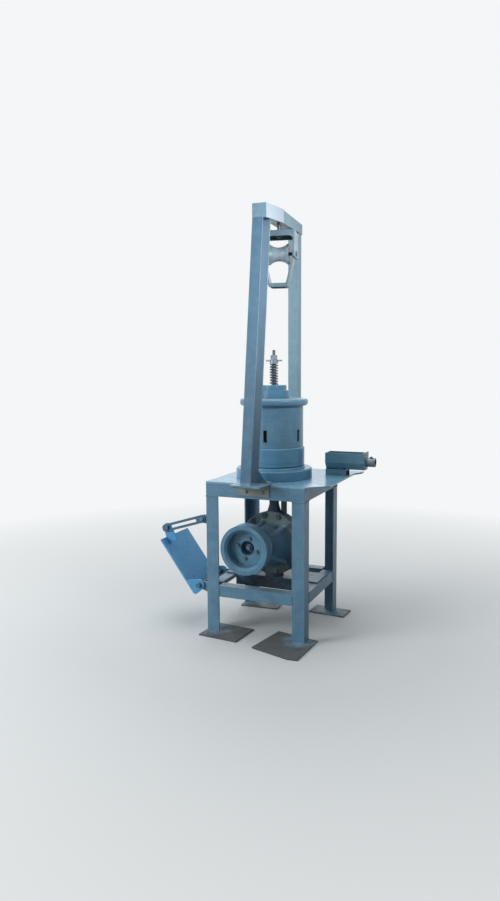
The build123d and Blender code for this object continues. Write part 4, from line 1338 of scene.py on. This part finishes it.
    def add_flange_bolts(self) -> None:
        """A ring of bolts round the nose's flange."""
        low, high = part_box("gear_nose")
        radius = (high.x - low.x) / 2
        middle = Vector(((low.x + high.x) / 2, high.y - FLANGE_THICKNESS * MM, low.z + radius))
        reach = radius - self.flange_bolt_inset * MM
        heads = []
        for number in range(self.flange_bolt_count):
            turn = 2 * math.pi * (number + self.flange_bolt_start) / self.flange_bolt_count
            place = middle + Vector((math.cos(turn) * reach, 0, math.sin(turn) * reach))
            head = bolt_head(self.flange_bolt_size, self.flange_head_height)
            heads.append(head.placed(place, FRONT, spin=37 * number))
        self.put_in("flange_bolts", joined(heads), Coat.HOUSING, "grey_green_iron")

    def add_pulley_fasteners(self) -> None:
        """Bolts on the pulley's web and the pinion's nut in its hub."""
        low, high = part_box("pulley")
        middle = Vector(((low.x + high.x) / 2, low.y, (low.z + high.z) / 2))
        reach, recess = self.pulley_bolt_radius * MM, self.pulley_recess * MM
        heads = []
        for number in range(self.pulley_bolt_count):
            turn = math.radians(self.pulley_bolt_turn + 360 / self.pulley_bolt_count * number)
            place = middle + Vector((math.cos(turn) * reach, recess, math.sin(turn) * reach))
            head = bolt_head(self.pulley_bolt_size, self.pulley_head_height)
            heads.append(head.placed(place, FRONT, spin=23 * number))
        self.put_in("pulley_bolts", joined(heads), Coat.BOLT, "blue_enamel", "pulley_body")
        seat = middle + Vector((0, (self.pulley_recess + self.hub_recess) * MM, 0))
        nut = bolt_head(self.nut_size, self.nut_height, self.nut_shank).placed(seat, FRONT, spin=11)
        self.put_in("pinion_nut", nut, Coat.BOLT, "bare_steel", "pulley_body")


@dataclass
class DrumStack(Part):
    """The seat and bearing column under and in the drum, and the thread of its spindle."""

    thread_pitch: float = 3.0
    thread_depth: float = 1.0
    thread_root: float = 8.5
    thread_gap: float = 0.5
    thread_short: float = 2.0
    seat_gap: float = 5.0
    seat_radius: float = 197.0
    seat_bore: float = 150.0
    column_radius: float = 66.0
    column_foot_radius: float = 96.0
    column_step_radius: float = 80.0
    column_head: float = 8.0
    column_bore: float = 31.0
    column_steps: tuple[float, float, float] = (18.0, 26.0, 60.0)
    column_top: float = 1340.0
    lift: float = 0.2

    def build(self) -> None:
        """Adds the details of the base and cuts the spindle's thread."""
        self.add_base_details()
        nut_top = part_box("spindle_nut")[1].z
        rod_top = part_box("spindle")[1].z
        length = (rod_top - nut_top) / MM - self.thread_short
        rod = threaded_rod(self.thread_root, self.thread_depth, self.thread_pitch, length)
        start = self.plan.at(0, 0, nut_top / MM + self.thread_gap)
        self.put_in("spindle_thread", rod.placed(start, UP), Coat.SPRING, "bare_steel", "drum_body")

    def add_base_details(self) -> None:
        """The raised seat on the base under the drum's rim, and the bearing column inside the drum."""
        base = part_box("bearing_base")[1].z / MM
        foot = base + self.lift
        under_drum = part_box("drum")[0].z / MM - self.seat_gap
        place = self.plan.at(0, 0, 0)
        rim, bore, top = self.seat_radius, self.seat_bore, under_drum
        seat = [(bore, foot), (rim, foot), (rim - 2, top - 4), (rim - 5, top), (bore, top)]
        ring = turned_ring(seat, 96).placed(place, UP)
        self.put_in("base_seat_ring", ring, Coat.DRUM, "blue_enamel")
        wall, head, top = self.column_radius, self.column_radius + self.column_head, self.column_top
        flange, shoulder, neck = (base + step for step in self.column_steps)
        column = [
            (self.column_bore, foot), (self.column_foot_radius, foot), (self.column_foot_radius, flange),
            (self.column_step_radius, shoulder), (wall, neck), (wall, top - 30), (head, top - 24),
            (head, top), (self.column_bore, top),
        ]
        tube = turned_ring(column, 48).placed(place, UP)
        self.put_in("bearing_column", tube, Coat.HOUSING, "grey_green_iron")


@dataclass
class Guide(Part):
    """The washers and collars on the axle of the guide roller."""

    fork_turn: float = 12.0
    fork_half_width: float = 108.3
    washer_radius: float = 19.0
    washer_bore: float = 10.3
    washer_thickness: float = 2.5
    collar: tuple[tuple[float, float], ...] = (
        (10.2, 2.6), (15.5, 2.6), (16.0, 3.2), (16.0, 4.6), (15.0, 5.2), (10.2, 5.2)
    )

    def build(self) -> None:
        """Adds a washer and a collar at each end of the axle."""
        low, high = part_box("roller_axle")
        turn = math.radians(self.fork_turn)
        way = Vector((math.cos(turn), math.sin(turn), 0))
        rings = []
        for side in (-1, 1):
            place = (low + high) / 2 + way * side * self.fork_half_width * MM
            flat = washer(self.washer_radius, self.washer_bore, self.washer_thickness)
            rings += [ring.placed(place, way * side) for ring in (flat, turned_ring(self.collar, 24))]
        self.put_in("axle_washers", joined(rings), Coat.NUT, "bare_steel", "fork_body")


@dataclass
class MotorMount(Part):
    """The heads of the motor plate's hinge rod and the welds of the lugs."""

    bead_radius: float = 2.6
    bead_inset: float = 3.0
    head_size: float = 30.0
    head_height: float = 12.0

    def build(self) -> None:
        """Adds the welds, a head at the rod's front end and a nut at its rear end."""
        low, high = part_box("hinge_lugs")
        arm_low, arm_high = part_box("arm_lug")
        welds = [
            self.lug_weld(low, high, low.y, 70),
            self.lug_weld(low, high, high.y, 71),
            self.lug_weld(arm_low, arm_high, arm_high.y, 73),
        ]
        self.put_in("lug_welds", joined(welds), Coat.FRAME, "blue_enamel")
        low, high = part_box("hinge_rod")
        middle = (low + high) / 2
        heads = [
            hexagon_head(self.head_size, self.head_height).placed(Vector((middle.x, y, middle.z)), way, spin)
            for y, way, spin in ((low.y, FRONT, 12), (high.y, -FRONT, 40))
        ]
        self.put_in("hinge_heads", joined(heads), Coat.BOLT, "bare_steel")

    def lug_weld(self, low: Vector, high: Vector, y: float, seed: int) -> Surface:
        """An upright bead where a lug meets the leg or the rail.

        Args:
            low: lower corner of the lug's box.
            high: upper corner.
            y: the bead's place along Y in metres.
            seed: starts its random swell.

        Returns:
            The bead.
        """
        inset = self.bead_inset * MM
        return bead([[high.x, y, low.z + inset], [high.x, y, high.z - inset]], self.bead_radius, seed)


@dataclass
class DieBox(Part):
    """The set screw of the die box's inlet tube and the welds of its stand."""

    screw_size: float = 15.0
    screw_height: float = 8.0
    screw_share: float = 0.55
    bead_radius: float = 3.0

    def build(self) -> None:
        """Adds the set screw and the welds."""
        low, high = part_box("wire_tube")
        place = Vector((low.x + (high.x - low.x) * self.screw_share, (low.y + high.y) / 2, high.z - 1 * MM))
        screw = bolt_head(self.screw_size, self.screw_height).placed(place, UP, spin=20)
        self.put_in("tube_set_screw", screw, Coat.BOLT, "bare_steel")
        low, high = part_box("box_stand")
        ring = bead(rectangle(low, high, low.z), self.bead_radius, 80, closed=True)
        self.put_in("stand_welds", ring, Coat.TABLE, "blue_enamel")


# ---------------------------------------------------------------- studio


@dataclass(frozen=True)
class Lamp:
    """A soft round lamp: its place and aim in metres, its size, power and spread in degrees."""

    name: str
    place: tuple[float, float, float]
    aim: tuple[float, float, float]
    size: float
    power: float
    spread: float = 180.0

    def build(self) -> None:
        """Hangs the lamp."""
        data = bpy.data.lights.new(self.name, "AREA")
        data.shape = "DISK"
        data.size = self.size
        data.energy = self.power
        data.spread = math.radians(self.spread)
        lamp = bpy.data.objects.new(self.name, data)
        lamp.location = self.place
        way = Vector(self.aim) - Vector(self.place)
        lamp.rotation_euler = way.to_track_quat("-Z", "Y").to_euler()
        bpy.context.scene.collection.objects.link(lamp)


# A broad key from the left front, one high at the right, one overhead and one behind
LAMPS = (
    Lamp("key", (-4.4, -4.6, 2.8), (0.0, 0.0, 1.2), 3.2, 250.0),
    Lamp("high_side", (1.75, -0.75, 2.5), (0.0, -0.2, 2.2), 1.0, 10.0, 68.0),
    Lamp("overhead", (-0.2, 0.2, 5.4), (0.0, 0.0, 1.2), 3.6, 95.0),
    Lamp("rear", (-1.5, 4.5, 3.6), (0.0, 0.0, 1.2), 3.0, 40.0),
)


@dataclass
class Studio:
    """A pale floor, soft lamps, an even sky and the camera that took the photograph."""

    plan: Plan
    focal_px: float = 705.49
    image_height_px: float = 901.0
    film: float = 36.0
    camera_place: tuple[float, float, float] = (1634.8, -4148.1, 1638.8)
    yaw: float = 23.480
    pitch: float = 6.668
    roll: float = -0.353
    far_clip: float = 200.0
    floor_half: float = 60.0
    floor_roughness: float = 0.9
    floor_seen: str = "CDD0D0"
    floor_bounce: str = "8A8C8C"
    backdrop: str = "F4F6F7"
    sky_high: str = "E6EDF2"
    sky_low: str = "3E464A"
    sky_strength: float = 0.66
    side_shade: float = 0.7
    fade_start: float = 1.1
    fade_end: float = 4.2

    def add_camera(self) -> None:
        """Sets the camera from the photograph's own viewpoint."""
        yaw, pitch, roll = (math.radians(angle) for angle in (self.yaw, self.pitch, self.roll))
        ahead = Vector((-math.sin(yaw), math.cos(yaw), 0))
        right = Vector((math.cos(yaw), math.sin(yaw), 0))
        look = ahead * math.cos(pitch) - UP * math.sin(pitch)
        crown = UP * math.cos(pitch) + ahead * math.sin(pitch)
        side = right * math.cos(roll) + crown * math.sin(roll)
        over = crown * math.cos(roll) - right * math.sin(roll)
        turn = Matrix((side, over, -look)).transposed()
        data = bpy.data.cameras.new("view")
        data.sensor_width = self.film
        data.lens = self.film * self.focal_px / self.image_height_px
        data.clip_end = self.far_clip
        camera = bpy.data.objects.new("view", data)
        camera.matrix_world = Matrix.Translation(self.plan.at(*self.camera_place)) @ turn.to_4x4()
        bpy.context.scene.collection.objects.link(camera)
        bpy.context.scene.camera = camera

    def add_floor(self) -> None:
        """A plain pale floor that fades into the background and keeps the machine's shadow."""
        size = self.floor_half
        corners = [(-size, -size, 0), (size, -size, 0), (size, size, 0), (-size, size, 0)]
        mesh = bpy.data.meshes.new("studio_floor")
        mesh.from_pydata(corners, [], [(0, 1, 2, 3)])
        material = bpy.data.materials.new("studio_floor_paint")
        recipe = Recipe.cleared(material)
        seen = recipe.seen_plainly()
        paint = recipe.mix(seen, linear(self.floor_bounce), linear(self.floor_seen))
        sockets = {"Base Color": paint, "Roughness": self.floor_roughness}
        shader = recipe.add("ShaderNodeBsdfPrincipled", sockets).outputs["BSDF"]
        glow = recipe.add("ShaderNodeEmission", {"Color": linear(self.backdrop), "Strength": 1.0})
        far = recipe.product(recipe.ramp(recipe.from_line(0.0, 0.0), self.fade_start, self.fade_end), seen)
        faded = recipe.add("ShaderNodeMixShader", {"Fac": far, 1: shader, 2: glow.outputs["Emission"]})
        recipe.add("ShaderNodeOutputMaterial", {"Surface": faded.outputs["Shader"]})
        mesh.materials.append(material)
        floor = bpy.data.objects.new("studio_floor", mesh)
        bpy.context.scene.collection.objects.link(floor)

    def add_sky(self) -> None:
        """A pale sky, brighter above and at the left, that the camera sees as white."""
        world = bpy.data.worlds.new("studio_sky")
        bpy.context.scene.world = world
        recipe = Recipe.cleared(world)
        way = recipe.add("ShaderNodeTexCoord").outputs["Generated"]
        leaning = recipe.maths("MULTIPLY_ADD", recipe.part(way, "X"), -self.side_shade, recipe.part(way, "Z"))
        light = recipe.mix(recipe.ramp(leaning, -0.4, 0.8), linear(self.sky_low), linear(self.sky_high))
        sky = recipe.add("ShaderNodeBackground", {"Color": light, "Strength": self.sky_strength})
        white = recipe.add("ShaderNodeBackground", {"Color": linear(self.backdrop), "Strength": 1.0})
        sockets = {"Fac": recipe.seen_plainly(), 1: sky.outputs["Background"], 2: white.outputs["Background"]}
        both = recipe.add("ShaderNodeMixShader", sockets)
        recipe.add("ShaderNodeOutputWorld", {"Surface": both.outputs["Shader"]})

    def build(self) -> None:
        """Builds the floor, the lamps, the sky and the camera."""
        bpy.context.scene.view_settings.view_transform = "Standard"
        self.add_floor()
        for lamp in LAMPS:
            lamp.build()
        self.add_sky()
        self.add_camera()


def main() -> None:
    """Dresses the nodes and adds every piece and the studio."""
    logging.basicConfig(level=logging.INFO, format="%(message)s")
    plan = Plan.from_frame()
    paint = {coat: coat.value.build() for coat in Coat}
    for coat, nodes in DRESSED.items():
        for node in nodes:
            dress(node, paint[coat])
    for part in (TableFrame, Portal, Drive, DrumStack, Guide, MotorMount, DieBox):
        part(plan, paint).build()
        LOG.info("built %s", part.__name__)
    Studio(plan).build()


if __name__ == "__main__":
    main()
